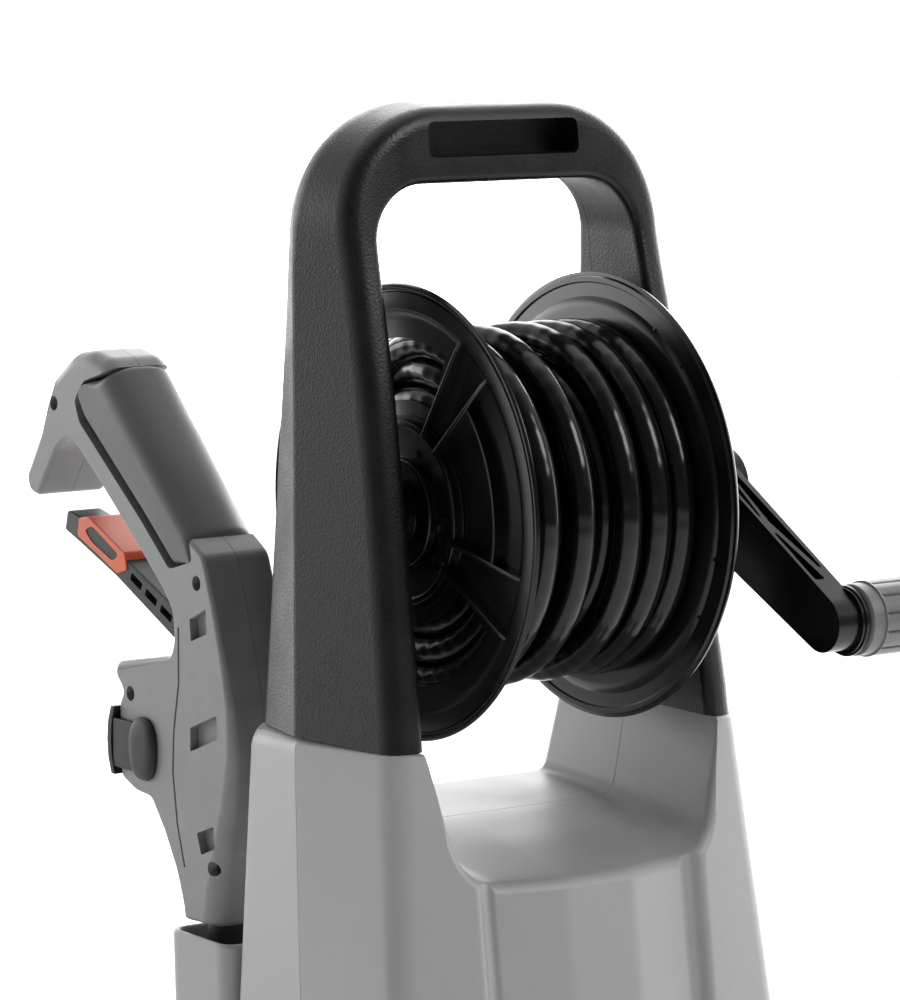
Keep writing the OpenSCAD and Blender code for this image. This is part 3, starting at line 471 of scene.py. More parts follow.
def rounded(corners: Sequence[Sequence[float]], radii: Sequence[float],
            steps: int = 4) -> list[tuple[float, ...]]:
    """Rounds the corners of a closed outline in two or three dimensions.

    Args:
        corners: The corners in turn.
        radii: Length cut from each side of each corner.
        steps: Straight steps in each rounding.

    Returns:
        The rounded outline, steps + 1 points for each corner.
    """
    out: list[tuple[float, ...]] = []
    count = len(corners)
    for k, corner in enumerate(corners):
        here, last, following = (Vector(corner), Vector(corners[k - 1]),
                                 Vector(corners[(k + 1) % count]))
        back, on = last - here, following - here
        start = here + back * min(radii[k] / back.length, 0.48)
        end = here + on * min(radii[k] / on.length, 0.48)
        for step in range(steps + 1):
            t = step / steps
            out.append(tuple(start * (1 - t) ** 2 + here * 2 * t * (1 - t) + end * t * t))
    return out


def loft(name: str, rings: Sequence[Sequence[Point3]], caps: bool = True) -> bpy.types.Object:
    """Skins closed rings of equal length.

    Args:
        name: Name of the piece.
        rings: The rings in turn.
        caps: Whether both ends are closed.

    Returns:
        The skinned object.
    """
    n = len(rings[0])
    points = [p for ring in rings for p in ring]
    faces: list[Sequence[int]] = [
        (i * n + k, i * n + (k + 1) % n, (i + 1) * n + (k + 1) % n, (i + 1) * n + k)
        for i in range(len(rings) - 1) for k in range(n)]
    if caps:
        faces += [tuple(range(n))[::-1], tuple((len(rings) - 1) * n + k for k in range(n))]
    return solid(name, points, faces)


def slab(name: str, outline: Sequence[Point2], x0: float, x1: float) -> bpy.types.Object:
    """Extrudes a side outline along X.

    Args:
        name: Name of the piece.
        outline: Its [y, z] corners.
        x0: One end.
        x1: The other end.

    Returns:
        The slab.
    """
    return loft(name, [[(x, y, z) for y, z in outline] for x in (x0, x1)])


class Axis(Enum):
    """The axis that a turned piece lies along."""
    X = 0
    Y = 1
    Z = 2


def turned(name: str, profile: Sequence[Point2], axis: Axis, centre: Point2, count: int = 96,
           closed: bool = False) -> bpy.types.Object:
    """Turns a profile round an axis.

    Args:
        name: Name of the piece.
        profile: [radius, place along the axis] points. An open profile starts and ends on the axis.
        axis: The axis.
        centre: The other two coordinates of the axis, in turn.
        count: Steps round it.
        closed: Whether the profile is a closed loop off the axis.

    Returns:
        The turned object.
    """
    def place(radius: float, along: float, turn: float) -> Point3:
        """A point of the turned piece."""
        a, b = radius * math.cos(turn), radius * math.sin(turn)
        if axis is Axis.X:
            return (along, centre[0] + a, centre[1] + b)
        if axis is Axis.Y:
            return (centre[0] + a, along, centre[1] + b)
        return (centre[0] + a, centre[1] + b, along)

    n, m = len(profile), count
    points = [place(r, s, 2 * math.pi * k / m) for r, s in profile for k in range(m)]
    last = n if closed else n - 1
    faces = [(i * m + k, i * m + (k + 1) % m,
              ((i + 1) % n) * m + (k + 1) % m, ((i + 1) % n) * m + k)
             for i in range(last) for k in range(m)]
    return solid(name, points, faces)


def rod(name: str, radius: float, a: float, b: float, axis: Axis, centre: Point2,
        count: int = 48) -> bpy.types.Object:
    """A plain round bar, used as a cutter or a core.

    Args:
        name: Name.
        radius: Its radius.
        a: One end.
        b: The other end.
        axis: The axis it lies along.
        centre: The axis's other coordinates.
        count: Steps round it.

    Returns:
        The bar.
    """
    return turned(name, [(0, a), (radius, a), (radius, b), (0, b)], axis, centre, count)


def block(name: str, low: Point3, high: Point3) -> bpy.types.Object:
    """A box between two corners, used as a cutter or the start of a shape.

    Args:
        name: Name.
        low: Lowest corner.
        high: Highest corner.

    Returns:
        The box.
    """
    return loft(name, [[(x, low[1], low[2]), (x, high[1], low[2]), (x, high[1], high[2]),
                        (x, low[1], high[2])] for x in (low[0], high[0])])


def about_reel(radius: float, angle: float, x: float) -> Point3:
    """A point at an angle from straight up towards the front, round the reel's axis."""
    a = math.radians(angle)
    return (x, -radius * math.sin(a), REEL_Z + radius * math.cos(a))


def refined(node: str, name: str, width: float, segments: int = 2,
            angle: float = 38.0) -> bpy.types.Object:
    """A copy of a CAD node with merged corners and rounded edges.

    Args:
        node: The CAD node.
        name: Name of the new piece.
        width: Width of the rounding.
        segments: Its steps.
        angle: Edges sharper than this are rounded, in degrees.

    Returns:
        The new piece.
    """
    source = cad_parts[node]
    mesh = source.data.copy()
    mesh.transform(source.matrix_world)
    mesh.name = name
    work = bmesh.new()
    work.from_mesh(mesh)
    bmesh.ops.remove_doubles(work, verts=work.verts, dist=4e-6)
    bmesh.ops.dissolve_limit(work, angle_limit=math.radians(1.5), verts=work.verts,
                             edges=work.edges)
    work.to_mesh(mesh)
    work.free()
    obj = bpy.data.objects.new(name, mesh)
    bpy.context.scene.collection.objects.link(obj)
    return soften(obj, width, segments, angle)


# ---- what repeats -----------------------------------------------------------------------------
class Pattern(Enum):
    """The way copies of an element are laid out."""
    RING = "round the axis"
    ROW = "along a line"


@dataclass
class Repeat:
    """Geometry Nodes that lay out copies of an element and give them their material."""
    pattern: Pattern
    count: int
    radius: float = 0.0
    step: Point3 = (0.0, 0.0, 0.0)
    sweep: float = 360.0
    start: float = 0.0

    def _tree(self, finish: Finish) -> bpy.types.NodeTree:
        """Builds the tree.

        Args:
            finish: Finish of the copies.

        Returns:
            The tree, with inputs Count, Radius, Step, Sweep and Start.
        """
        tree = bpy.data.node_groups.new(f"repeat_{self.pattern.name.lower()}", "GeometryNodeTree")
        face = tree.interface
        face.new_socket("Geometry", in_out="INPUT", socket_type="NodeSocketGeometry")
        for name, kind in (("Count", "NodeSocketInt"), ("Radius", "NodeSocketFloat"),
                           ("Step", "NodeSocketVector"), ("Sweep", "NodeSocketFloat"),
                           ("Start", "NodeSocketFloat")):
            face.new_socket(name, in_out="INPUT", socket_type=kind)
        face.new_socket("Geometry", in_out="OUTPUT", socket_type="NodeSocketGeometry")
        add, link = tree.nodes.new, tree.links.new
        inputs, output = add("NodeGroupInput"), add("NodeGroupOutput")
        line = add("GeometryNodeMeshLine")
        line.mode = "OFFSET"
        link(inputs.outputs["Count"], line.inputs["Count"])
        place = add("GeometryNodeInstanceOnPoints")
        link(line.outputs[0], place.inputs["Points"])
        link(inputs.outputs["Geometry"], place.inputs["Instance"])
        if self.pattern is Pattern.ROW:
            link(inputs.outputs["Step"], line.inputs["Offset"])
        else:
            line.inputs["Offset"].default_value = (0.0, 0.0, 0.0)
            index = add("GeometryNodeInputIndex")
            share = add("ShaderNodeMath")
            share.operation = "DIVIDE"
            link(index.outputs[0], share.inputs[0])
            link(inputs.outputs["Count"], share.inputs[1])
            angle = add("ShaderNodeMath")
            angle.operation = "MULTIPLY_ADD"
            link(share.outputs[0], angle.inputs[0])
            link(inputs.outputs["Sweep"], angle.inputs[1])
            link(inputs.outputs["Start"], angle.inputs[2])
            turn = add("ShaderNodeCombineXYZ")
            link(angle.outputs[0], turn.inputs["X"])
            link(turn.outputs[0], place.inputs["Rotation"])
            shift = add("ShaderNodeCombineXYZ")
            link(inputs.outputs["Radius"], shift.inputs["Z"])
            move = add("GeometryNodeTranslateInstances")
            link(place.outputs[0], move.inputs["Instances"])
            link(shift.outputs[0], move.inputs["Translation"])
            place = move
        real = add("GeometryNodeRealizeInstances")
        link(place.outputs[0], real.inputs[0])
        paint = add("GeometryNodeSetMaterial")
        paint.inputs["Material"].default_value = finish.build()
        link(real.outputs[0], paint.inputs["Geometry"])
        link(paint.outputs[0], output.inputs[0])
        return tree

    def apply(self, element: bpy.types.Object, finish: Finish,
              centre: Point3 = (0.0, 0.0, 0.0)) -> bpy.types.Object:
        """Lays out copies of an element.

        Args:
            element: One copy at the origin; in a ring its outward way is +Z and the axis is X.
            finish: Finish of the copies.
            centre: Where the pattern's origin goes.

        Returns:
            The element's object, now a plain mesh of all the copies.
        """
        tree = self._tree(finish)
        step = element.modifiers.new("repeat", "NODES")
        step.node_group = tree
        values = {"Count": self.count, "Radius": self.radius * MM,
                  "Step": tuple(s * MM for s in self.step), "Sweep": math.radians(self.sweep),
                  "Start": math.radians(self.start)}
        for item in tree.interface.items_tree:
            if item.in_out == "INPUT" and item.name in values:
                step[item.identifier] = values[item.name]
        settle(element)
        element.data.transform(Matrix.Translation(Vector(centre) * MM))
        return element


# ---- the sub-assemblies -----------------------------------------------------------------------
@dataclass
class Studio:
    """Camera, lights and floor."""
    camera_at: Point3 = (-1188.9, -1637.4, 939.7)
    azimuth: float = -35.34
    elevation: float = 7.27
    lens: float = 166.46

    def build(self) -> None:
        """Makes the camera, the lights, the floor and the surroundings."""
        az, el = math.radians(self.azimuth), math.radians(self.elevation)
        back = Vector((math.sin(az) * math.cos(el), -math.cos(az) * math.cos(el), math.sin(el)))
        data = bpy.data.cameras.new("camera")
        data.lens, data.sensor_width = self.lens, 36.0
        data.clip_start, data.clip_end = 0.05, 100.0
        camera = bpy.data.objects.new("camera", data)
        camera.location = Vector(self.camera_at) * MM
        camera.rotation_euler = (-back).to_track_quat("-Z", "Y").to_euler()
        bpy.context.scene.collection.objects.link(camera)
        bpy.context.scene.camera = camera
        for name, place, aim, size, power in (
                ("key_left_rear", (-2.4, 0.9, 1.5), (0, 0, 0.6), (1.4, 2.0), 6),
                ("rim_right_rear", (2.5, 1.0, 1.2), (0, 0, 0.6), (1.2, 2.2), 58),
                ("top", (0.2, 0.8, 3.0), (0, 0, 0.6), (2.0, 1.4), 5),
                ("front", (1.1, -2.3, 2.7), (0, 0, 0.6), (1.4, 1.4), 52),
                ("floor_wash", (2.3, 3.2, 2.4), (2.3, 3.2, 0), (3.4, 3.4), 130)):
            lamp = bpy.data.lights.new(name, "AREA")
            lamp.shape, lamp.size, lamp.size_y, lamp.energy = "RECTANGLE", *size, power
            light = bpy.data.objects.new(name, lamp)
            light.location = place
            light.rotation_euler = (Vector(aim) - Vector(place)).to_track_quat("-Z", "Y").to_euler()
            bpy.context.scene.collection.objects.link(light)
        world = bpy.data.worlds.new("surroundings")
        world.use_nodes = True
        self._light_surroundings(world.node_tree)
        bpy.context.scene.world = world
        bpy.context.scene.view_settings.view_transform = "Standard"
        reach = 5500
        floor = solid("floor", [(-reach, -reach, 0), (reach, -reach, 0), (reach, reach, 0),
                                (-reach, reach, 0)], [(0, 1, 2, 3)], tidy=False)
        floor.data.materials.append(Finish("floor_pale", "", (0.93, 0.93, 0.93), 0.85,
                                           mottle=0.01, mottle_mm=900.0, depth_mm=0.01).build())

    def _light_surroundings(self, tree: bpy.types.NodeTree) -> None:
        """Makes the surroundings dim in front, pale behind and bright low down behind.

        Args:
            tree: The world's nodes.
        """
        az = math.radians(self.azimuth)
        around = tree.nodes.new("ShaderNodeTexCoord").outputs["Generated"]
        towards = tree.nodes.new("ShaderNodeVectorMath")
        towards.operation = "DOT_PRODUCT"
        towards.inputs[1].default_value = (-math.sin(az), math.cos(az), 0.25)
        tree.links.new(around, towards.inputs[0])
        split = tree.nodes.new("ShaderNodeSeparateXYZ")
        tree.links.new(around, split.inputs[0])
        behind, height = towards.outputs["Value"], split.outputs["Z"]
        wide = self._ramp(tree, behind, -0.35, 0.75, 0.13, 1.05)
        facing = self._ramp(tree, behind, 0.02, 0.40, 0.0, 3.4)
        floor_side = self._ramp(tree, height, -0.30, -0.16, 0.0, 1.0)
        sky_side = self._ramp(tree, height, 0.18, 0.42, 1.0, 0.0)
        band = self._maths(tree, "MULTIPLY", floor_side, sky_side)
        glow = self._maths(tree, "MULTIPLY", band, facing)
        tree.links.new(self._maths(tree, "ADD", wide, glow), tree.nodes["Background"].inputs[1])
        tree.nodes["Background"].inputs[0].default_value = (1.0, 1.0, 1.0, 1.0)

    @staticmethod
    def _ramp(tree: bpy.types.NodeTree, value: bpy.types.NodeSocket, low: float, high: float,
              at_low: float, at_high: float) -> bpy.types.NodeSocket:
        """Eases from one value to another.

        Args:
            tree: The nodes to add to.
            value: What is read.
            low: Where the change starts.
            high: Where it ends.
            at_low: Value up to the start.
            at_high: Value from the end.

        Returns:
            The eased value.
        """
        ramp = tree.nodes.new("ShaderNodeMapRange")
        ramp.interpolation_type = "SMOOTHSTEP"
        for name, setting in (("From Min", low), ("From Max", high), ("To Min", at_low),
                              ("To Max", at_high)):
            ramp.inputs[name].default_value = setting
        tree.links.new(value, ramp.inputs["Value"])
        return ramp.outputs[0]

    @staticmethod
    def _maths(tree: bpy.types.NodeTree, what: str, first: bpy.types.NodeSocket,
               second: bpy.types.NodeSocket) -> bpy.types.NodeSocket:
        """Adds one sum or product of two values.

        Args:
            tree: The nodes to add to.
            what: The operation.
            first: One value.
            second: The other.

        Returns:
            The result.
        """
        node = tree.nodes.new("ShaderNodeMath")
        node.operation = what
        tree.links.new(first, node.inputs[0])
        tree.links.new(second, node.inputs[1])
        return node.outputs[0]


@dataclass
class Hose:
    """The hose, wound in three layers on the drum."""
    radius: float = 6.25
    layers: tuple[tuple[float, tuple[float, ...]], ...] = (
        (48.5, (-41.5, -28.8, -16.1, -3.4, 9.3, 22.0, 34.7, 41.9)),
        (61.2, (36.5, 23.5, 10.5, -2.5, -15.5, -28.5, -41.5)),
        (73.6, (-42.8, -30.0, -11.0, 14.0, 30.0, 43.0)))
    cross_from: float = 28.0
    cross_to: float = 100.0
    end_x: float = 34.0
    end_r: float = 88.2
    sides: int = 16
    spacing: float = 5.0

    def path(self) -> list[Point3]:
        """The centre line, from the drum to the fitting.

        Returns:
            Points about 5 mm apart.
        """
        keys: list[tuple[float, float, float]] = []
        turn = 0.0
        x_was, r_was = self.layers[0][1][0], self.layers[0][0]
        keys.append((-30.0, r_was, x_was))
        for radius, places in self.layers:
            for x in places:
                keys += [(turn + self.cross_from, r_was, x_was), (turn + self.cross_to, radius, x)]
                x_was, r_was = x, radius
                turn += 360.0
        keys += [(turn - 90.0, r_was, x_was), (turn - 11.0, self.end_r, self.end_x)]
        keys = keys[:1] + [k for k in keys[1:] if k[0] > -29]
        points: list[Point3] = []
        angle = keys[0][0]
        index = 0
        while angle < keys[-1][0]:
            while keys[index + 1][0] <= angle:
                index += 1
            a, b = keys[index], keys[index + 1]
            t = (angle - a[0]) / (b[0] - a[0])
            t = t * t * (3 - 2 * t)
            radius, x = a[1] + t * (b[1] - a[1]), a[2] + t * (b[2] - a[2])
            turn_at = math.radians(angle)
            points.append((x, radius * math.cos(turn_at), REEL_Z + radius * math.sin(turn_at)))
            angle += math.degrees(self.spacing / radius)
        points.append((self.end_x, self.end_r, REEL_Z - 14.5))
        points.append((self.end_x, self.end_r, REEL_Z - 13.0))
        return points

    def build(self) -> None:
        path = [Vector(p) for p in self.path()]
        n, m = self.sides, len(path)
        points: list[Point3] = []
        normal = Vector((1.0, 0.0, 0.0))
        for k, here in enumerate(path):
            way = (path[min(k + 1, m - 1)] - path[max(k - 1, 0)]).normalized()
            normal = (normal - way * normal.dot(way)).normalized()
            side = way.cross(normal)
            for j in range(n):
                a = 2 * math.pi * j / n
                out = normal * math.cos(a) + side * math.sin(a)
                points.append(tuple(here + out * self.radius))
        faces: list[Sequence[int]] = [(i * n + j, i * n + (j + 1) % n, (i + 1) * n + (j + 1) % n,
                                       (i + 1) * n + j) for i in range(m - 1) for j in range(n)]
        faces += [tuple(range(n))[::-1], tuple((m - 1) * n + j for j in range(n))]
        hose = solid("hose", points, faces, tidy=False)
        clean(hose.data)
        uv = hose.data.uv_layers.new(name="along")
        run = [0.0]
        for a, b in zip(path, path[1:]):
            run.append(run[-1] + (b - a).length)
        for poly in hose.data.polygons:
            for loop, vertex in zip(poly.loop_indices, poly.vertices):
                column = vertex % n
                if (len(poly.vertices) == 4 and column == 0
                        and any(v % n == n - 1 for v in poly.vertices)):
                    column = n
                uv.data[loop].uv = (run[min(vertex // n, m - 1)] * MM, column / n * 0.04)
        dress(hose, HOSE, "reel", "hose_coil", weigh=False, angle=60)
        fitting = refined("hose_end_fitting", "hose_fitting", 0.6)
        dress(fitting, BRASS, "reel", "hose_end_fitting")


@dataclass
class Reel:
    """Both flanges with their half drums, hubs and ribs."""
    wall: float = 1.6
    steps: int = 144
    rib_angles: tuple[float, ...] = (29.5, 45.0, 102.5, 121.0)
    windows: tuple[tuple[float, float], ...] = ((127.5, 202.5), (307.5, 382.5))
    window_r: Point2 = (49.0, 76.0)
    face: tuple[Point2, ...] = (
        (40.5, 50.9), (43.5, 50.4), (49.0, 50.4), (58.0, 50.4), (67.0, 50.5), (76.0, 50.6),
        (84.0, 50.8), (86.6, 51.2), (88.2, 52.6), (89.0, 52.9), (92.5, 53.1), (95.8, 53.2),
        (96.4, 52.4), (97.0, 52.4), (97.6, 53.9), (98.4, 54.3), (99.3, 54.2), (99.8, 53.5),
        (100.0, 52.6))

    def _dish(self, name: str) -> bpy.types.Object:
        """The dished sheet with its windows, walled inwards.

        Args:
            name: Name of the sheet.

        Returns:
            The walled sheet of the right side.
        """
        n = self.steps
        points = [about_reel(r, 360.0 * k / n, x) for r, x in self.face for k in range(n)]
        faces = []
        for i in range(len(self.face) - 1):
            middle = (self.face[i][0] + self.face[i + 1][0]) / 2
            for k in range(n):
                angle = 360.0 * (k + 0.5) / n
                open_here = self.window_r[0] < middle < self.window_r[1] and any(
                    a < angle + t < b for a, b in self.windows for t in (0, 360))
                if not open_here:
                    faces.append((i * n + k, i * n + (k + 1) % n, (i + 1) * n + (k + 1) % n,
                                  (i + 1) * n + k))
        sheet = solid(name, points, faces, tidy=False)
        work = bmesh.new()
        work.from_mesh(sheet.data)
        bmesh.ops.recalc_face_normals(work, faces=work.faces)
        if sum(f.normal.x * f.calc_area() for f in work.faces) < 0:
            bmesh.ops.reverse_faces(work, faces=work.faces)
        bmesh.ops.delete(work, geom=[v for v in work.verts if not v.link_faces], context="VERTS")
        work.to_mesh(sheet.data)
        work.free()
        wall = sheet.modifiers.new("wall", "SOLIDIFY")
        wall.thickness = self.wall * MM
        wall.offset = -1.0
        settle(sheet)
        return soften(sheet, 0.35, 2, 50)

    def _rib(self, angle: float) -> bpy.types.Object:
        """One rib that stands on the dish and slopes down to the rim.

        Args:
            angle: Its angle from straight up, towards the front.

        Returns:
            The rib.
        """
        half = 1.0
        shape = [(39.5, 50.0), (89.5, 50.6), (89.0, 53.6), (85.0, 54.8), (40.5, 57.2), (39.5, 57.0)]
        rings = []
        a = math.radians(angle)
        out, side = Vector((0, -math.sin(a), math.cos(a))), Vector((0, math.cos(a), math.sin(a)))
        for shift in (-half, half):
            rings.append([tuple(Vector((x, 0, REEL_Z)) + out * r + side * shift) for r, x in shape])
        return soften(loft("rib", rings), 0.45, 2)

    def _arc(self, r0: float, r1: float, a0: float, a1: float,
             x0: float, x1: float) -> bpy.types.Object:
        """A curved rib round the axis.

        Args:
            r0: Inner radius.
            r1: Outer radius.
            a0: First angle.
            a1: Last angle.
            x0: Foot.
            x1: Top.

        Returns:
            The rib.
        """
        rings = []
        for k in range(21):
            a = a0 + (a1 - a0) * k / 20
            rings.append([about_reel(r, a, x) for r, x in ((r0, x0), (r1, x0), (r1, x1), (r0, x1))])
        return soften(loft("arc", rings), 0.4, 2)

    def _side(self, name: str) -> list[bpy.types.Object]:
        """The parts of the right side.

        Args:
            name: Name of its dish.

        Returns:
            The parts.
        """
        parts = [self._dish(name)]
        centre = (0.0, REEL_Z)
        parts.append(soften(turned("drum", [(39.0, 0.15), (42.0, 0.15), (42.0, 50.2), (43.0, 50.6),
                                            (43.0, 51.6), (39.0, 51.6)], Axis.X, centre, 96, True),
                            0.5, 2))
        parts.append(soften(turned("hub", [(10.02, 44.0), (24, 44.0), (24, 49.6), (40.5, 49.6),
                                           (40.5, 54.2), (38.7, 54.8), (37.9, 54.8), (37.3, 52.6),
                                           (31, 52.2), (24.2, 52.2), (24.0, 55.2), (23.2, 56.0),
                                           (14.5, 56.0), (14.0, 67.0), (10.02, 67.0)],
                                   Axis.X, centre, 96, True), 0.4, 2))
        for turn in (0, 180):
            parts += [self._rib(a + turn) for a in self.rib_angles]
            parts.append(self._arc(69.3, 71.2, 45.0 + turn, 102.0 + turn, 50.0, 55.4))
            for radius, angle, hole in ((33.0, 99.0, 5.2), (32.5, 125.0, 3.4)):
                x, y, z = about_reel(radius, angle + turn, 0.0)
                parts.append(soften(turned("boss", [(hole, 52.0), (hole + 1.0, 52.0),
                                                    (hole + 0.9, 53.4), (hole + 0.1, 53.4)],
                                           Axis.X, (y, z), 28, True), 0.2, 1))
        spot = rod("spot", 1.6, 52.0, 53.0, Axis.X, (0.0, 0.0), 14)
        Repeat(Pattern.RING, 3, radius=28.0, start=20.0).apply(spot, REEL, (0.0, 0.0, REEL_Z))
        parts.append(spot)
        return parts

    def build(self) -> None:
        """Makes both sides."""
        right = join("flange_right", self._side("dish"))
        left = join("flange_left", self._side("dish"))
        left.data.transform(Matrix.Scale(-1, 4, Vector((1, 0, 0))))
        work = bmesh.new()
        work.from_mesh(left.data)
        bmesh.ops.reverse_faces(work, faces=work.faces)
        work.to_mesh(left.data)
        work.free()
        dress(right, REEL, "reel", "reel_flange_right")
        dress(left, REEL, "reel", "reel_flange_left")


@dataclass
class Crank:
    """The crank arm with its pockets, and the fluted grip."""
    arm_x: Point2 = (106.0, 119.0)
    hub_r: float = 17.0
    end_r: float = 13.0
    length: float = 106.0
    fall: float = 29.0
    grip_x: Point2 = (122.5, 212.5)
    grip_r: float = 17.0
    flutes: int = 12

    def _at(self, along: float, across: float) -> Point2:
        """[y, z] of a point along the arm and across it, towards its upper edge."""
        a = math.radians(self.fall)
        return (-along * math.cos(a) - across * math.sin(a),
                REEL_Z - along * math.sin(a) + across * math.cos(a))

    def build(self) -> None:
        """Makes the arm, its screw and the grip."""
        outline: list[Point2] = []
        for k in range(17):
            turn = math.radians(90 + 180 * k / 16)
            outline.append(self._at(self.hub_r * math.cos(turn), self.hub_r * math.sin(turn)))
        for k in range(15):
            turn = math.radians(-90 + 180 * k / 14)
            outline.append(self._at(self.length + self.end_r * math.cos(turn),
                                    self.end_r * math.sin(turn)))
        arm = slab("crank", outline, *self.arm_x)
        for name, run in (("pocket_a", ((16, 1.6), (16, 5.4), (46, 2.6), (46, 1.6))),
                          ("pocket_b", ((10, 6.9), (10, 9.6), (84, 11.0), (84, 9.4), (50, 4.4))),
                          ("pocket_c", ((58, 1.8), (58, 3.2), (92, 7.4), (92, 1.8)))):
            flat = rounded([(u, v) for u, v in run], [1.2] * len(run), 2)
            rings = [[(self.arm_x[0] + v, *self._at(u, w)) for u, v in flat] for w in (4.0, 22.0)]
            carve(arm, loft(name, rings))
        soften(arm, 0.7, 2)
        hub = turned("hub", [(0, 106.2), (self.hub_r, 106.2), (self.hub_r, 126.6),
                             (self.hub_r - 1.4, 128.0), (0, 128.0)], Axis.X, (0.0, REEL_Z), 64)
        y, z = self._at(self.length, 0.0)
        collar = turned("collar", [(5.0, 118), (15.0, 118), (15.0, 119.4), (15.8, 119.6),
                                   (15.8, 120.6), (14.2, 120.8), (14.2, 122.2), (5.0, 122.2)],
                        Axis.X, (y, z), 64, True)
        pin = rod("pin", 5.0, 108, 208, Axis.X, (y, z), 32)
        piece = join("crank", [arm, soften(hub, 0.6, 2), collar, pin])
        dress(piece, REEL, "reel", "crank_arm")
        dress(refined("crank_screw", "crank_bolt", 0.5), STEEL, "reel", "crank_screw")
        self._grip(y, z)

    def _grip(self, y: float, z: float) -> None:
        """Makes the grip.

        Args:
            y: Its axis.
            z: Its axis.
        """
        rings = []
        x0, x1 = self.grip_x
        per = 10
        stations = [(x0, 0.80, 0), (x0 + 0.8, 0.90, 0), (x0 + 1.6, 0.94, 0), (x0 + 7.5, 0.95, 0),
                    (x0 + 8.0, 1.0, 0), (x0 + 9.5, 1.0, 1)]
        stations += [(x0 + 9.5 + (x1 - x0 - 15.5) * k / 8, 1.0, 1) for k in range(1, 9)]
        stations += [(x1 - 4.5, 1.0, 0), (x1 - 2.5, 0.96, 0), (x1 - 0.8, 0.86, 0), (x1, 0.7, 0)]
        for x, scale, fluted in stations:
            ring = []
            for k in range(self.flutes * per):
                turn = 2 * math.pi * k / (self.flutes * per)
                phase = (k % per) / per
                groove = max(0.0, 1.0 - abs(phase - 0.5) * per / 1.1)
                flat = math.cos(math.pi / self.flutes) / math.cos(
                    (phase % 1.0) * 2 * math.pi / self.flutes - math.pi / self.flutes)
                radius = self.grip_r * scale * (1 - fluted * (0.075 * groove + 0.4 * (1 - flat)))
                ring.append((x, y + radius * math.cos(turn), z + radius * math.sin(turn)))
            rings.append(ring)
        grip = loft("grip", rings)
        dress(grip, GRIP, "crank_grip", "crank_grip", angle=28)


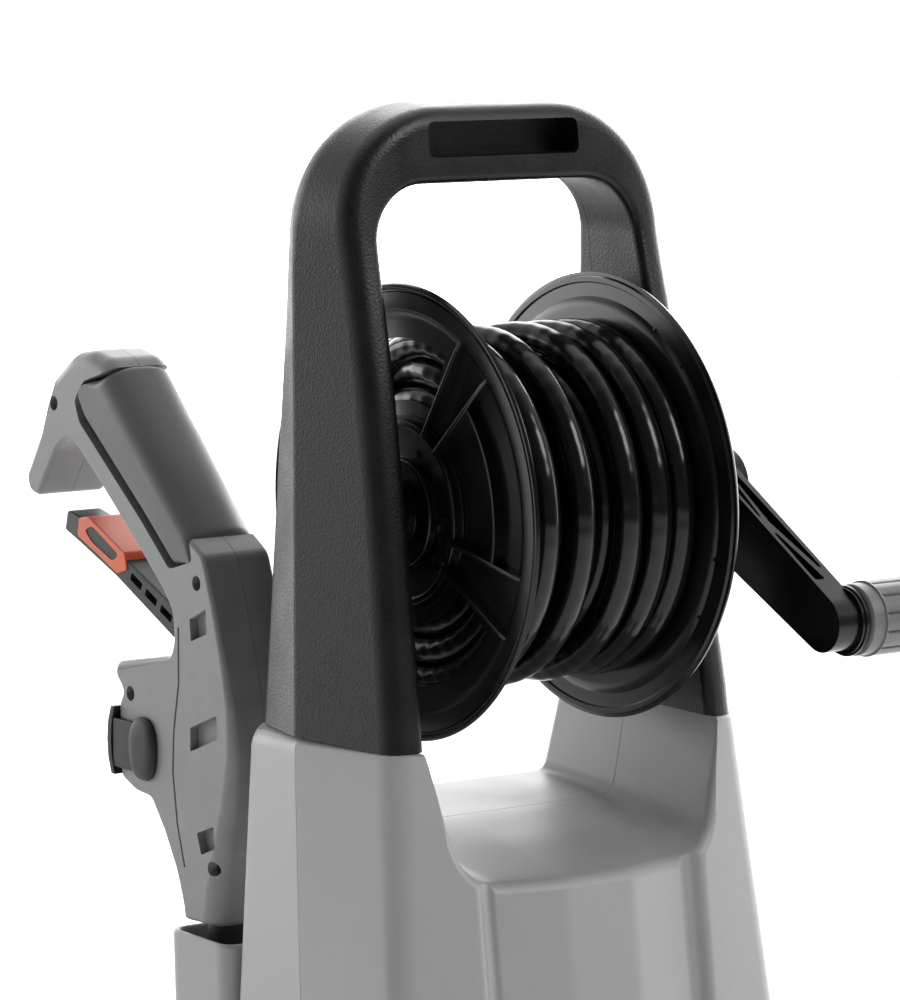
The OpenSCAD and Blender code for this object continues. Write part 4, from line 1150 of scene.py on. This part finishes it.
@dataclass
class Handle:
    """The hoop handle in two halves that meet at its ridge."""
    foot_z: float = 584.4
    corner_r: float = 58.0
    inner_r: float = 26.0
    heights: tuple[float, ...] = (584, 672, 738, 775, 795, 838, 870)
    front_ys: tuple[float, ...] = (-52.7, -36.8, -23.4, -13.6, -7.6, -1.0, -1.0)
    front_in: tuple[float, ...] = (9.0, 8.0, 7.0, 6.3, 5.6, 2.6, 1.5)
    slot_x: float = 40.0
    slot_z: Point2 = (834.0, 849.0)
    slot_depth: float = 14.0

    def _section(self, outer: Point2, normal: Point2, inner: Point2) -> list[Point3]:
        """One closed section.

        Args:
            outer: [x, z] on the ridge.
            normal: Outward way there.
            inner: [x, z] on the opening.

        Returns:
            Its points.
        """
        z = outer[1]
        front = eased(z, self.heights, self.front_ys, 14.0)
        front_inner = eased(inner[1], self.heights, self.front_ys, 14.0)
        ridge = between(z, (584, 790, 857), (12.0, 30.0, 31.0))
        rear = between(z, (584, 790, 857), (55.0, 40.0, 38.5))
        rear_inner = between(inner[1], (584, 790, 857), (55.0, 40.0, 38.5))
        inset = between(z, self.heights, self.front_in)
        back_inset = between(z, (584, 790, 857), (11.0, 3.0, 2.5))
        corners = [(inner[0], front_inner, inner[1]),
                   (outer[0] - normal[0] * inset, front + 2.2 * (inset / 9.0),
                    outer[1] - normal[1] * inset),
                   (outer[0], ridge, outer[1]),
                   (outer[0] - normal[0] * back_inset, rear, outer[1] - normal[1] * back_inset),
                   (inner[0] + normal[0] * 1.5, rear_inner, inner[1] + normal[1] * 1.5)]
        top = between(z, (790, 850), (0.0, 1.0))
        return rounded(corners, [5.0, 9.0, 1.6 + 5 * top, 7.0, 5.0], 6)

    def _rings(self) -> list[list[Point3]]:
        """All sections from the right foot to the left one.

        Returns:
            The sections.
        """
        slope = 0.058
        flat = math.hypot(1.0, slope)
        half: list[list[Point3]] = []
        for k in range(17):
            t = k / 16
            zo, zi = self.foot_z + (799 - self.foot_z) * t, self.foot_z + (796 - self.foot_z) * t
            half.append(self._section((102 - slope * (zo - 584), zo), (1 / flat, slope / flat),
                                      (77 - 0.0364 * (zi - 584), zi)))
        for k in range(1, 15):
            a = math.radians(90 * k / 14)
            c, s = math.cos(a), math.sin(a)
            half.append(self._section((31.5 + self.corner_r * c, 799 + self.corner_r * s), (c, s),
                                      (43.3 + self.inner_r * c, 796 + self.inner_r * s)))
        for k in range(1, 7):
            t = 1 - k / 6
            half.append(self._section((31.5 * t, 857), (0, 1), (43.3 * t, 822)))
        other = [[(-x, y, z) for x, y, z in ring] for ring in half[-2::-1]]
        return half + other

    def _half(self, name: str, front: bool) -> bpy.types.Object:
        """The front or rear half.

        Args:
            name: Name of the half.
            front: Which half.

        Returns:
            The half.
        """
        hoop = loft(name, self._rings())
        lean = math.tan(math.radians(4.95))
        gap = 0.12 if front else -0.12
        seam = [(12 + lean * (z - 584) - gap, z) for z in (560, 900)]
        far = -200 if front else 200
        cutter = slab("seam", [seam[0], seam[1], (far, 900), (far, 560)], -130, 130)
        return carve(hoop, cutter, "INTERSECT")

    def build(self) -> None:
        """Makes both halves."""
        front = self._half("handle_front_half", True)
        rear = self._half("handle_rear_half", False)
        slot = rounded([(-self.slot_x, self.slot_z[0]), (self.slot_x, self.slot_z[0]),
                        (self.slot_x, self.slot_z[1]), (-self.slot_x, self.slot_z[1])],
                       [3.5] * 4, 4)
        flared = rounded([(-self.slot_x - 1.6, self.slot_z[0] - 1.6),
                          (self.slot_x + 1.6, self.slot_z[0] - 1.6),
                          (self.slot_x + 1.6, self.slot_z[1] + 1.6),
                          (-self.slot_x - 1.6, self.slot_z[1] + 1.6)], [4.5] * 4, 4)
        carve(front, loft("slot", [[(x, -8.0, z) for x, z in flared],
                                   [(x, -0.4, z) for x, z in slot],
                                   [(x, self.slot_depth, z) for x, z in slot]]))
        carve(rear, block("slot_room", (-44, 0, 831), (44, self.slot_depth, 852)))
        for half in (front, rear):
            carve(half, rod("bore", 13.0, 60, 120, Axis.X, (0.0, REEL_Z)))
            carve(half, rod("bore", 13.0, -88, -60, Axis.X, (0.0, REEL_Z)))
        bosses = []
        for side in (-1, 1):
            bosses.append(soften(turned("boss", [(16.2, side * 70.5), (19.5, side * 70.5),
                                                 (19.5, side * 76.0), (16.2, side * 76.0)],
                                        Axis.X, (0.0, REEL_Z), 64, True), 0.5, 2))
        front = join("handle_front_half", [front, *bosses])
        dress(front, HANDLE, "root", "handle_front", angle=30)
        dress(rear, HANDLE, "root", "handle_rear", angle=30)


@dataclass
class Shells:
    """The front and rear shells, hollow, with the saddle under the reel."""
    z0: float = 40.0
    z1: float = 584.0
    wall: float = 2.8
    lip_r: float = 5.0
    floor_d: tuple[float, ...] = (-30, 0, 9, 21, 53, 85, 118, 200)
    floor_z: tuple[float, ...] = (515, 525.0, 527.5, 530.0, 537.5, 541.5, 544.0, 545)

    def _up(self, z: float) -> float:
        """Share of the height from the tray to the shoulders."""
        return (z - self.z0) / (self.z1 - self.z0)

    def _front(self, z: float) -> float:
        """Y of the front corners at a height."""
        return -128 + 77 * self._up(z)

    def _rear(self, z: float) -> float:
        """Y of the rear face at a height."""
        return 84 - 20 * self._up(z)

    def _plan(self, z: float, inset: float) -> list[Point3]:
        """Plan outline at a height.

        Args:
            z: The height of the outline's shape.
            inset: How far the outline is drawn in all round.

        Returns:
            The outline.
        """
        u, f = self._up(z), self._front(z)
        xf, xr = 134 - 40 * u, 114 - 20 * u
        ridge = (118 - 16 * u, -31 + 43 * u)
        half = [(18, f - 12.8), (50.5, f - 5.0), (52.5, f - 3.0), (56.5, f - 4.4), (60.6, f - 8.4),
                (xf, f), ridge, (xr, self._rear(z))]
        radii = [3.0, 1.0, 1.2, 1.2, 2.6, 10.0, 1.6, 12.0]
        outline = [*half, *[(-x, y) for x, y in half[::-1]]]
        flat = rounded(outline, radii + radii[::-1], 4)
        if inset:
            flat = self._inset(flat, inset)
        return [(x, y, 0.0) for x, y in flat]

    @staticmethod
    def _inset(flat: Sequence[Point2], amount: float | Sequence[float]) -> list[Point2]:
        """Draws an outline in.

        Args:
            flat: The outline, running either way round.
            amount: How far, for all points or each.

        Returns:
            The inner outline.
        """
        area = sum(a[0] * b[1] - b[0] * a[1] for a, b in zip(flat, [*flat[1:], flat[0]]))
        sign = 1.0 if area > 0 else -1.0
        out = []
        n = len(flat)
        for k, (x, y) in enumerate(flat):
            step = amount if isinstance(amount, (int, float)) else amount[k]
            ax, ay = flat[k - 1]
            bx, by = flat[(k + 1) % n]
            dx, dy = bx - ax, by - ay
            size = math.hypot(dx, dy) or 1.0
            out.append((x - sign * dy / size * step, y + sign * dx / size * step))
        return out

    def _form(self, name: str, inset: float, low: float, high: float,
              round_top: bool) -> bpy.types.Object:
        """The closed form of the body.

        Args:
            name: Name.
            inset: How far it is drawn in.
            low: Its foot.
            high: Its top.
            round_top: Whether its shoulders are rounded.

        Returns:
            The form.
        """
        rings = []
        levels = [low + (high - low - (10 if round_top else 0)) * k / 12 for k in range(13)]
        for z in levels:
            rings.append([(x, y, z) for x, y, _ in self._plan(z, inset)])
        if round_top:
            base = [(x, y) for x, y, _ in self._plan(high, inset)]
            reach = [between(y, (-45, 5, 25), (2.2, 3.2, 9.5)) for _, y in base]
            for k in range(1, 7):
                a = math.radians(15 * k)
                drawn = self._inset(base, [r * (1 - math.cos(a)) for r in reach])
                rings.append([(x, y, high - r * (1 - math.sin(a)))
                              for (x, y), r in zip(drawn, reach)])
        return loft(name, rings)

    def _saddle(self, name: str, grow: float) -> bpy.types.Object:
        """The space of the saddle, flared where it leaves the front and rear faces.

        Args:
            name: Name.
            grow: How much larger it is all round.

        Returns:
            The cutter.
        """
        def flare(d: float) -> float:
            """Widening at a depth behind a face."""
            r, edge = self.lip_r, 0.35
            if d >= r:
                return 0.0
            if d >= edge:
                return r - math.sqrt(r * r - (r - d) ** 2)
            slope = (r - edge) / math.sqrt(r * r - (r - edge) ** 2)
            return flare(edge) + slope * min(edge - d, 4.0)

        def ring(depth: float, widen: float,
                 place: Callable[[float, float], float]) -> list[Point3]:
            """One row of the cutter."""
            zf = eased(depth, self.floor_d, self.floor_z, 8.0)
            xb = 78.6 - 0.252 * (581 - zf)
            xt = 78.6 + 0.252 * 69
            turn = eased(depth, (0, 30, 80, 120), (20, 17, 8, 5), 8.0)
            flat = rounded([(-xt, 650), (-xb, zf), (xb, zf), (xt, 650)], [0.5, turn, turn, 0.5], 10)
            flat[22:22] = [(x, zf) for x in (-36, -27, -19, -17, -9, 0, 9, 17, 19, 27, 36)]
            flat = self._inset(flat, -(widen + grow))
            return [(x, place(x, z), z) for x, z in flat]

        def front(depth: float) -> Callable[[float, float], float]:
            """Y of a row near the front face."""
            def at(x: float, z: float) -> float:
                """Y at a point."""
                bulge = between(abs(x), (0, 18, 50.5, 60.6, 97), (-12.8, -12.8, -5.0, -8.4, 0.0))
                return self._front(min(z, 584)) + bulge + depth
            return at

        rows = []
        for d in (-30.0, -4.0, 0.35, 0.8, 1.5, 2.4, 3.6, 5.0, 9.0, 15.0, 24.0, 36.0, 50.0):
            rows.append(ring(d, flare(d), front(d)))
        for y in (2.0, 20.0, 36.0):
            rows.append(ring(y + 73.0, 0.0, lambda x, z, y=y: y))
        for d in (5.0, 3.6, 2.4, 1.5, 0.8, 0.35, -4.0, -30.0):
            rows.append(ring(134.0 - d, flare(d), lambda x, z, d=d: self._rear(min(z, 584)) - d))
        return loft(name, rows)

    def build(self) -> None:
        """Makes both shells."""
        body = self._form("body", 0.0, self.z0, self.z1, True)
        carve(body, self._saddle("saddle", 0.0))
        room = self._form("room", self.wall, self.z0 - 2, self.z1 - self.wall, False)
        carve(room, self._saddle("saddle_room", self.wall))
        carve(body, room)
        front_half = [(12 - 43 * (1 - self._up(z)) - 0.15, z) for z in (0, 600)]
        rear_half = [(y + 0.3, z) for y, z in front_half]
        whole = body.data.copy()
        front = carve(body, slab("seam_front", [*front_half, (-300, 600), (-300, 0)], -200, 200),
                      "INTERSECT")
        rear = bpy.data.objects.new("rear_body", whole)
        bpy.context.scene.collection.objects.link(rear)
        carve(rear, slab("seam_rear", [*rear_half, (300, 600), (300, 0)], -200, 200), "INTERSECT")
        carve(front, rod("switch_hole", 16.0, -200, -20, Axis.Y, (0.0, 410.0)))
        carve(front, rod("inlet_hole", 18.0, -200, -20, Axis.Y, (0.0, 68.0)))
        carve(rear, rod("neck_hole", 17.0, 30, 200, Axis.Y, (0.0, 440.0)))
        carve(rear, rod("gland_hole", 9.0, 40, 200, Axis.Y, (60.0, 165.0)))
        carve(rear, rod("axle_hole", 6.4, -200, 200, Axis.X, (72.0, 90.0)))
        for x in (-32, 32):
            one = soften(block("vent", (x - 21, 55, 0), (x + 21, 110, 5)), 2.2, 3)
            row = Repeat(Pattern.ROW, 7, step=(0.0, 0.0, 12.0)).apply(one, SHELL, (0, 0, 210))
            carve(rear, row)
        front.name, rear.name = "front_shell_moulding", "rear_shell_moulding"
        dress(front, SHELL, "root", "front_shell", angle=26)
        dress(rear, SHELL, "root", "rear_shell", angle=26)


@dataclass
class Gun:
    """The spray gun, its lever, lock, clip and the holster it stands in.

    Places on it are y and z from GUN_Y and the rim of the cup.
    """
    half: float = 18.0
    muzzle: float = 17.0
    outline: tuple[Point2, ...] = (
        (4, 4), (2, 22), (-3, 41), (-8.5, 61), (-12, 84), (-10, 106), (-4, 128.5), (3, 149.5),
        (11.5, 172.5), (25, 180), (86.5, 245), (97, 254.5), (111.5, 257.5), (126, 255.5),
        (141, 245), (154.5, 213.5), (167.5, 193.5), (165, 187), (156.5, 185), (139, 209.5),
        (130.5, 214.5), (122, 212.5), (100, 196.5), (63, 167.5), (44, 151.5), (38, 144),
        (37, 131.5), (40, 124), (86.5, 115.5), (88.5, 109.5), (81, 102), (85, 97), (84, 62),
        (71.5, 57), (58, 56), (46.5, 42), (36, 25), (30.5, 10.5), (29.5, 4))
    pad: tuple[Point2, ...] = (
        (21, 169.5), (40, 164), (63, 183), (118, 224), (122, 233.5), (113.5, 243), (99, 247),
        (91.5, 251.5), (24, 181))
    pad_spine: tuple[Point2, Point2] = ((33.0, 174.5), (110.0, 235.5))
    screws: tuple[Point2, ...] = ((17, 160), (74.5, 102), (5.5, 31.5), (141, 230.5))
    recesses: tuple[tuple[Point2, ...], ...] = (
        ((23, 143), (9.5, 149), (8.5, 138), (22, 133)),
        ((23, 93.5), (1, 102), (0, 91.5), (23, 82.5)),
        ((18, 46), (4, 51), (3, 41), (14.5, 36.5)))
    lever: tuple[Point2, ...] = (
        (21, 121), (31.5, 121), (54.5, 131.5), (101, 152.5), (134.5, 165), (147.5, 169.5),
        (145, 179), (132.5, 176.5), (101, 165), (52.5, 145), (31.5, 142), (21, 138))
    lock: tuple[Point2, ...] = (
        (90.5, 156.5), (99.5, 154), (118, 161.5), (135, 168), (133.5, 176.5), (125, 178),
        (92.5, 164.5))
    inlay: tuple[Point2, ...] = ((97.5, 163), (103, 159.5), (122, 166.5), (128, 171.5), (121, 174))

    @staticmethod
    def _hung(points: Sequence[Point2]) -> list[Point2]:
        """Points on the gun, moved to where it hangs."""
        return [(GUN_Y + y, CUP_RIM + z) for y, z in points]

    def _soft_outline(self, points: Sequence[Point2], size: float) -> list[Point2]:
        """An outline with every corner rounded by the same length."""
        return rounded(points, [size] * len(points), 3)

    def _round_of(self, z: float) -> float:
        """Radius of the front edge at a height over the rim: larger toward the nose."""
        return eased(z, (0, 45, 95, 140), (11.0, 8.0, 4.5, 2.2), 18.0)

    def _half(self, name: str, x0: float, x1: float, outer: float) -> bpy.types.Object:
        """One half of the body, its outer edge rounded, more so down the front of the nose.

        Args:
            name: Its name.
            x0: One side.
            x1: The other side.
            outer: The side that is seen.

        Returns:
            The half.
        """
        flat = self._soft_outline(self.outline, 3.0)
        fine = [p for a, b in zip(flat, flat[1:] + flat[:1])
                for p in ([a] if math.dist(a, b) < 9.0 else
                          [a, ((a[0] + b[0]) / 2, (a[1] + b[1]) / 2)])]
        small = Shells._inset(fine, 1.0)
        way = 1.0 if outer < GUN_X else -1.0
        mid = x1 if outer == x0 else x0
        rings = []
        for step in range(7):
            turn = math.pi / 2 * step / 6
            ring = []
            for (y, z), (yi, zi) in zip(fine, small):
                back = 31.0 + max(0.0, z - 10.0) * 0.42
                front = 4.0 - max(0.0, z - 4.0) * 0.19
                share = min(1.0, max(0.0, (back - y) / (back - front))) if z < 150 else 0.0
                radius = max(0.0, self._round_of(z) - 2.2) * share
                crown = 6.0 * min(1.0, max(0.0, (z - 238.0) / 8.0))
                shrink = 1.0 - math.sin(turn)
                ring.append((outer + way * (2.2 + radius + crown) * (1.0 - math.cos(turn)),
                             y + (yi - y) * 2.2 * shrink + radius * shrink,
                             z + (zi - z) * 2.2 * shrink - crown * shrink))
            rings.append([(x, GUN_Y + y, CUP_RIM + z) for x, y, z in ring])
        rings.append([(mid, GUN_Y + y, CUP_RIM + z) for y, z in fine])
        return loft(name, rings)

    def _pillow(self, name: str, half: float) -> bpy.types.Object:
        """The pad of the grip, rounded over toward both sides.

        Args:
            name: Its name.
            half: Half its thickness.

        Returns:
            The pad.
        """
        flat = self._soft_outline(self.pad, 3.0)
        (y0, z0), (y1, z1) = self.pad_spine
        run = (y1 - y0, z1 - z0)
        rings = []
        for k in range(17):
            across = math.sin(math.pi / 2 * (k - 8) / 8)
            share = 0.42 + 0.58 * (1.0 - abs(across) ** 3.0) ** (1 / 2.2)
            ring = []
            for y, z in flat:
                t = ((y - y0) * run[0] + (z - z0) * run[1]) / (run[0] ** 2 + run[1] ** 2)
                near = (y0 + run[0] * t, z0 + run[1] * t)
                ring.append((GUN_X + across * half, GUN_Y + near[0] + (y - near[0]) * share,
                             CUP_RIM + near[1] + (z - near[1]) * share))
            rings.append(ring)
        return loft(name, rings)

    def build(self) -> None:
        """Makes the gun and the cup that holds it."""
        outer, inner = GUN_X - self.half, GUN_X + self.half
        left = self._half("gun_left_half", outer, GUN_X - 0.12, outer)
        right = self._half("gun_right_half", GUN_X + 0.12, inner, inner)
        grown = self._soft_outline(Shells._inset(self.pad, -0.35), 2.5)
        room = self._hung([(12.5, 114.5), (63, 114.5), (63, 152.5), (31.5, 156.5), (12.5, 144)])
        for half in (left, right):
            carve(half, slab("pad_room", self._hung(grown), outer - 5, inner + 5))
            carve(half, slab("lever_room", room, GUN_X - 10.5, GUN_X + 10.5))
            carve(half, rod("muzzle", 11.2, CUP_RIM - 24, CUP_RIM + 60, Axis.Z,
                            (GUN_X, GUN_Y + self.muzzle)))
        for y, z in self._hung(self.screws):
            carve(left, rod("screw_well", 3.5, outer - 5, outer + 7.5, Axis.X, (y, z), 28))
        for shape in self.recesses:
            carve(left, slab("recess", self._hung(self._soft_outline(shape, 0.8)), outer - 5,
                             outer + 4.2))
        carve(left, self._groove(outer))
        dress(left, GUN, "gun", "gun_shell_left", angle=30)
        dress(right, GUN, "gun", "gun_shell_right", angle=30)
        dress(self._pillow("gun_pad", self.half + 0.2), PAD, "gun", "gun_grip_pad", angle=40)
        self._screws(outer)
        self._lever()
        self._clip(outer, inner)
        self._cup()

    def _groove(self, outer: float) -> bpy.types.Object:
        """The shallow groove down the side, as a cutter.

        Args:
            outer: The side it is cut in.

        Returns:
            The cutter.
        """
        line = [(32.5, 138), (32.5, 112.5), (37, 89.5), (38, 70.5), (34.5, 47.5), (28.5, 28.5)]
        wide = [(y - 0.7, z) for y, z in line] + [(y + 0.7, z) for y, z in line[::-1]]
        return slab("groove", self._hung(wide), outer - 3, outer + 1.0)

    def _screws(self, outer: float) -> None:
        """Makes the screw heads in their wells.

        Args:
            outer: The side they are in.
        """
        heads = []
        for y, z in self._hung(self.screws):
            head = turned("head", [(0, outer + 5.4), (1.0, outer + 5.4), (1.3, outer + 4.6),
                                   (2.8, outer + 4.6), (3.1, outer + 5.2), (3.1, outer + 7.4),
                                   (0, outer + 7.4)], Axis.X, (y, z), 24)
            heads.append(head)
        dress(join("gun_screw_heads", heads), SCREW, "gun", "gun_screws")

    def _lever(self) -> None:
        """Makes the trigger lever, its windows and its lock."""
        half = 9.0
        bar = slab("trigger_lever", self._hung(self._soft_outline(self.lever, 1.6)), GUN_X - half,
                   GUN_X + half)
        soften(bar, 1.0, 2, 40)
        carve(bar, slab("lock_room", self._hung([(99, 157), (131.5, 168), (130.5, 197),
                                                 (88.5, 197)]),
                        GUN_X - half + 3, GUN_X + half - 3))
        window = block("window", (GUN_X - half - 2, -5.2, -1.9), (GUN_X + half + 2, 5.2, 1.9))
        window.data.transform(Matrix.Rotation(math.radians(24.5), 4, "X"))
        soften(window, 0.9, 2)
        first = self._hung([(44.5, 134.6)])[0]
        row = Repeat(Pattern.ROW, 4, step=(0.0, 12.9, 5.85)).apply(window, LEVER, (0, *first))
        carve(bar, row)
        dress(bar, LEVER, "trigger", "gun_trigger", angle=30)
        skin = self._hung(self._soft_outline(self.lock, 1.2))
        lock = slab("lock_saddle", skin, GUN_X - half - 0.7, GUN_X + half + 0.7)
        soften(lock, 0.7, 2, 40)
        inlay = self._soft_outline(self.inlay, 2.6)
        carve(lock, slab("inlay_room", self._hung(inlay), GUN_X - half - 2, GUN_X - half + 0.1))
        plate = slab("lock_inlay", self._hung(self._soft_outline(inlay, 0.2)),
                     GUN_X - half - 0.35, GUN_X - half + 0.3)
        dress(lock, ORANGE, "trigger_lock", "trigger_lock", angle=30)
        dress(plate, LEVER, "trigger_lock")

    def _clip(self, outer: float, inner: float) -> None:
        """Makes the hose clip with its two lens-shaped cheeks.

        Args:
            outer: Left side of the gun.
            inner: Right side of the gun.
        """
        parts = []
        mid_y, mid_z = self._hung([(62.0, 78.0)])[0]
        for side, way in ((outer - 0.3, -1), (inner + 0.3, 1)):
            rings = []
            for share, out in ((1.0, 0.0), (1.0, 1.2), (0.92, 2.4), (0.74, 3.1), (0.4, 3.4)):
                ring = []
                for k in range(28):
                    a = 2 * math.pi * k / 28
                    c, s = math.cos(a), math.sin(a)
                    ry = 11.0 * share * abs(c) ** 0.8 * (1 if c > 0 else -1)
                    rz = 14.7 * share * abs(s) ** 0.8 * (1 if s > 0 else -1)
                    ring.append((side + way * out, mid_y + ry, mid_z + rz))
                rings.append(ring)
            parts.append(loft("cheek", rings))
            near, far = sorted((side, side + way * 2.2))
            arm = block("arm", (near, mid_y + 7.5, mid_z - 11.5),
                        (far, mid_y + 24.5, mid_z + 11.5))
            parts.append(soften(arm, 0.7, 2))
        arc = [(84.0, 63), (86.4, 70.4), (87.2, 79), (86.4, 87.4), (84.0, 95), (87.3, 95),
               (90.0, 87.4), (90.8, 79), (90.0, 70.4), (87.3, 63)]
        back = slab("back", self._hung(self._soft_outline(arc, 0.8)), outer - 3.0, inner + 3.0)
        parts.append(soften(back, 0.7, 2, 45))
        dress(join("hose_clip_piece", parts), LEVER, "hose_clip", "hose_clip")

    def _cup(self) -> None:
        """Makes the holster cup."""
        rim = CUP_RIM
        half_w, front, rear, corner = 23, 71, 121, 9.0
        web_half, web_low, web_high = 12, rim - 56, rim - 12

        def ring(inset: float, z: float) -> list[Point3]:
            """One level of the cup."""
            x0, x1 = GUN_X - half_w + inset, GUN_X + half_w - inset
            y0, y1 = front + inset, rear - inset
            flat = rounded([(x0, y0), (x1, y0), (x1, y1), (x0, y1)], [corner - inset] * 4, 6)
            return [(x, y, z) for x, y in flat]

        cup = loft("holster", [ring(7, rim - 64), ring(3.0, rim - 63), ring(1.2, rim - 60),
                               ring(0, rim - 4), ring(0, rim - 1.4), ring(0.7, rim - 0.2),
                               ring(1.6, rim), ring(2.3, rim - 0.4), ring(2.9, rim - 2.0),
                               ring(3.2, rim - 57), ring(6.0, rim - 60)])
        web = block("web", (GUN_X - web_half, 68.6, web_low), (GUN_X + web_half, 75, web_high))
        dress(join("holster_cup", [cup, soften(web, 1.0, 2)]), SHELL, "root", "gun_holster",
              angle=30)


@dataclass
class Chassis:
    """Wheels, tray, knob and the fittings of the body."""
    axle: Point2 = (72.0, 90.0)
    wheel_x: Point2 = (125.0, 160.0)
    wheel_r: float = 89.0
    spokes: int = 6
    treads: int = 40

    def _wheel(self, side: int) -> None:
        """Makes one wheel with its tyre.

        Args:
            side: 1 for the right, -1 for the left.
        """
        name = "right" if side > 0 else "left"
        x0, x1 = self.wheel_x
        r = self.wheel_r
        rim = turned("rim", [(60, x0 + 3), (63, x0), (71.6, x0), (71.6, x1), (66, x1),
                             (64.5, x1 - 4), (62, x0 + 20), (60, x0 + 16)],
                     Axis.X, self.axle, 96, True)
        soften(rim, 0.8, 2)
        hub = turned("hub", [(6.05, x0 - 1), (22, x0 - 1), (24, x0 + 1), (24, x1 - 6), (23, x1 - 4),
                             (6.05, x1 - 4)], Axis.X, self.axle, 64, True)
        disc = turned("disc", [(22, x0 + 15), (40, x0 + 17), (61, x0 + 15), (61, x0 + 18.5),
                               (40, x0 + 20.5), (22, x0 + 18.5)], Axis.X, self.axle, 96, True)
        spoke = loft("spoke", [[(x0 + 9, -5, 21.5), (x0 + 9, 5, 21.5), (x1 - 5, 4, 21.5),
                                (x1 - 5, -4, 21.5)],
                               [(x0 + 11, -8, 62), (x0 + 11, 8, 62), (x1 - 11, 7, 62),
                                (x1 - 11, -7, 62)]])
        soften(spoke, 1.6, 3)
        Repeat(Pattern.RING, self.spokes).apply(spoke, TRAY, (0, *self.axle))
        wheel = join(f"wheel_{name}_rim", [rim, soften(hub, 0.7, 2), disc, spoke])
        crown = [(71.8, x0 + 1), (80, x0 + 0.5), (84.5, x0 + 2), (86.6, x0 + 5), (87.2, x0 + 11),
                 (87.2, x1 - 11), (86.6, x1 - 5), (84.5, x1 - 2), (80, x1 - 0.5), (71.8, x1 - 1)]
        tyre = turned("tyre", crown, Axis.X, self.axle, 120, True)
        tread = loft("tread", [[(x0 + 3.5, -4.2, z0), (x0 + 3.5, 0.2, z0), (x1 - 3.5, 4.2, z0),
                                (x1 - 3.5, -0.2, z0)] for z0 in (84.0, r - 0.15)])
        soften(tread, 0.5, 1)
        Repeat(Pattern.RING, self.treads).apply(tread, TYRE, (0, *self.axle))
        tyre = join(f"wheel_{name}_tyre", [tyre, tread])
        if side < 0:
            for piece in (wheel, tyre):
                piece.data.transform(Matrix.Scale(-1, 4, Vector((1, 0, 0))))
                piece.data.flip_normals()
        dress(wheel, TRAY, f"wheel_{name}", f"wheel_{name}")
        dress(tyre, TYRE, f"wheel_{name}", f"tyre_{name}")
        dress(refined(f"wheel_cap_{name}", f"wheel_{name}_cover", 1.4, 3), SHELL, f"wheel_{name}",
              f"wheel_cap_{name}")

    def _knob(self) -> None:
        """Makes the switch knob, its bezel and its turned marks."""
        knob = turned("knob", [(0, -122.5), (19, -122.5), (22.2, -121.2), (23.6, -118),
                               (23.9, -108.5), (23.2, -107.0), (0, -107.0)],
                      Axis.Y, (0.0, 410.0), 72)
        bar = soften(block("bar", (-5, -132, 388), (5, -118, 432)), 2.4, 4)
        stem = rod("stem", 6.0, -108, -100.5, Axis.Y, (0.0, 410.0), 32)
        knurl = rod("knurl", 0.9, -120.0, -108.8, Axis.Y, (0.0, 23.6), 8)
        knurl.data.transform(Matrix.Rotation(math.radians(90), 4, "Z"))
        Repeat(Pattern.RING, 36).apply(knurl, ORANGE)
        knurl.data.transform(Matrix.Rotation(math.radians(-90), 4, "Z"))
        knurl.data.transform(Matrix.Translation((0, 0, 0.410)))
        dress(join("selector_knob", [knob, bar, stem, knurl]), ORANGE, "knob", "control_knob")
        dress(refined("switch_bezel", "knob_bezel", 1.2, 3), TRAY, "root", "switch_bezel")

    def build(self) -> None:
        """Makes the chassis."""
        for side in (1, -1):
            self._wheel(side)
        self._knob()
        for node, name, width, finish, body in (
                ("base_tray", "floor_tray", 1.4, TRAY, "root"),
                ("floor_pads", "rubber_feet", 0.6, RUBBER, "root"),
                ("cable_gland", "cord_gland", 0.8, RUBBER, "root"),
                ("tank_cap", "detergent_cap", 1.0, LEVER, "tank_cap"),
                ("inlet_coupling", "water_inlet", 0.8, BRASS, "root"),
                ("case_screws", "case_screw_heads", 0.4, SCREW, "root"),
                ("wheel_axle", "axle", 0.6, STEEL, "root")):
            dress(refined(node, name, width), finish, body, node)


@dataclass
class Works:
    """The inner parts, which keep their CAD shape and get their finishes."""
    finishes: dict[Finish, tuple[str, ...]] = field(default_factory=lambda: {
        STEEL: ("reel_shaft", "motor_bearings", "swash_plate", "pump_pistons", "piston_springs",
                "trigger_pin", "motor_rotor"),
        CAST: ("motor_housing", "motor_end_cover", "pump_body", "motor_bracket"),
        BRASS: ("pump_head", "outlet_elbow", "hose_swivel"),
        LEVER: ("gun_valve",),
        COPPER: ("motor_stator",),
        SCREW: ("pump_bolts",),
        RUBBER: ("rubber_mounts", "feed_hose"),
        TRAY: ("motor_fan", "stop_switch", "switch_body"),
        TANK: ("detergent_tank", "suction_tube", "run_capacitor"),
        BUSH: ("reel_bushes",)})

    def build(self) -> None:
        """Dresses every inner node."""
        for finish, nodes in self.finishes.items():
            for node in nodes:
                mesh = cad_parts[node].data
                mesh.materials.clear()
                mesh.materials.append(finish.build())
                LOG.info("%s: %s", node, finish.name)


def main() -> None:
    """Builds the washer."""
    logging.basicConfig(level=logging.INFO, format="%(message)s")
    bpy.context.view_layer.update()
    Studio().build()
    Hose().build()
    for assembly in (Reel(), Crank(), Handle(), Shells(), Gun(), Chassis(), Works()):
        assembly.build()
        LOG.info("built %s", type(assembly).__name__)


if __name__ == "__main__":
    main()
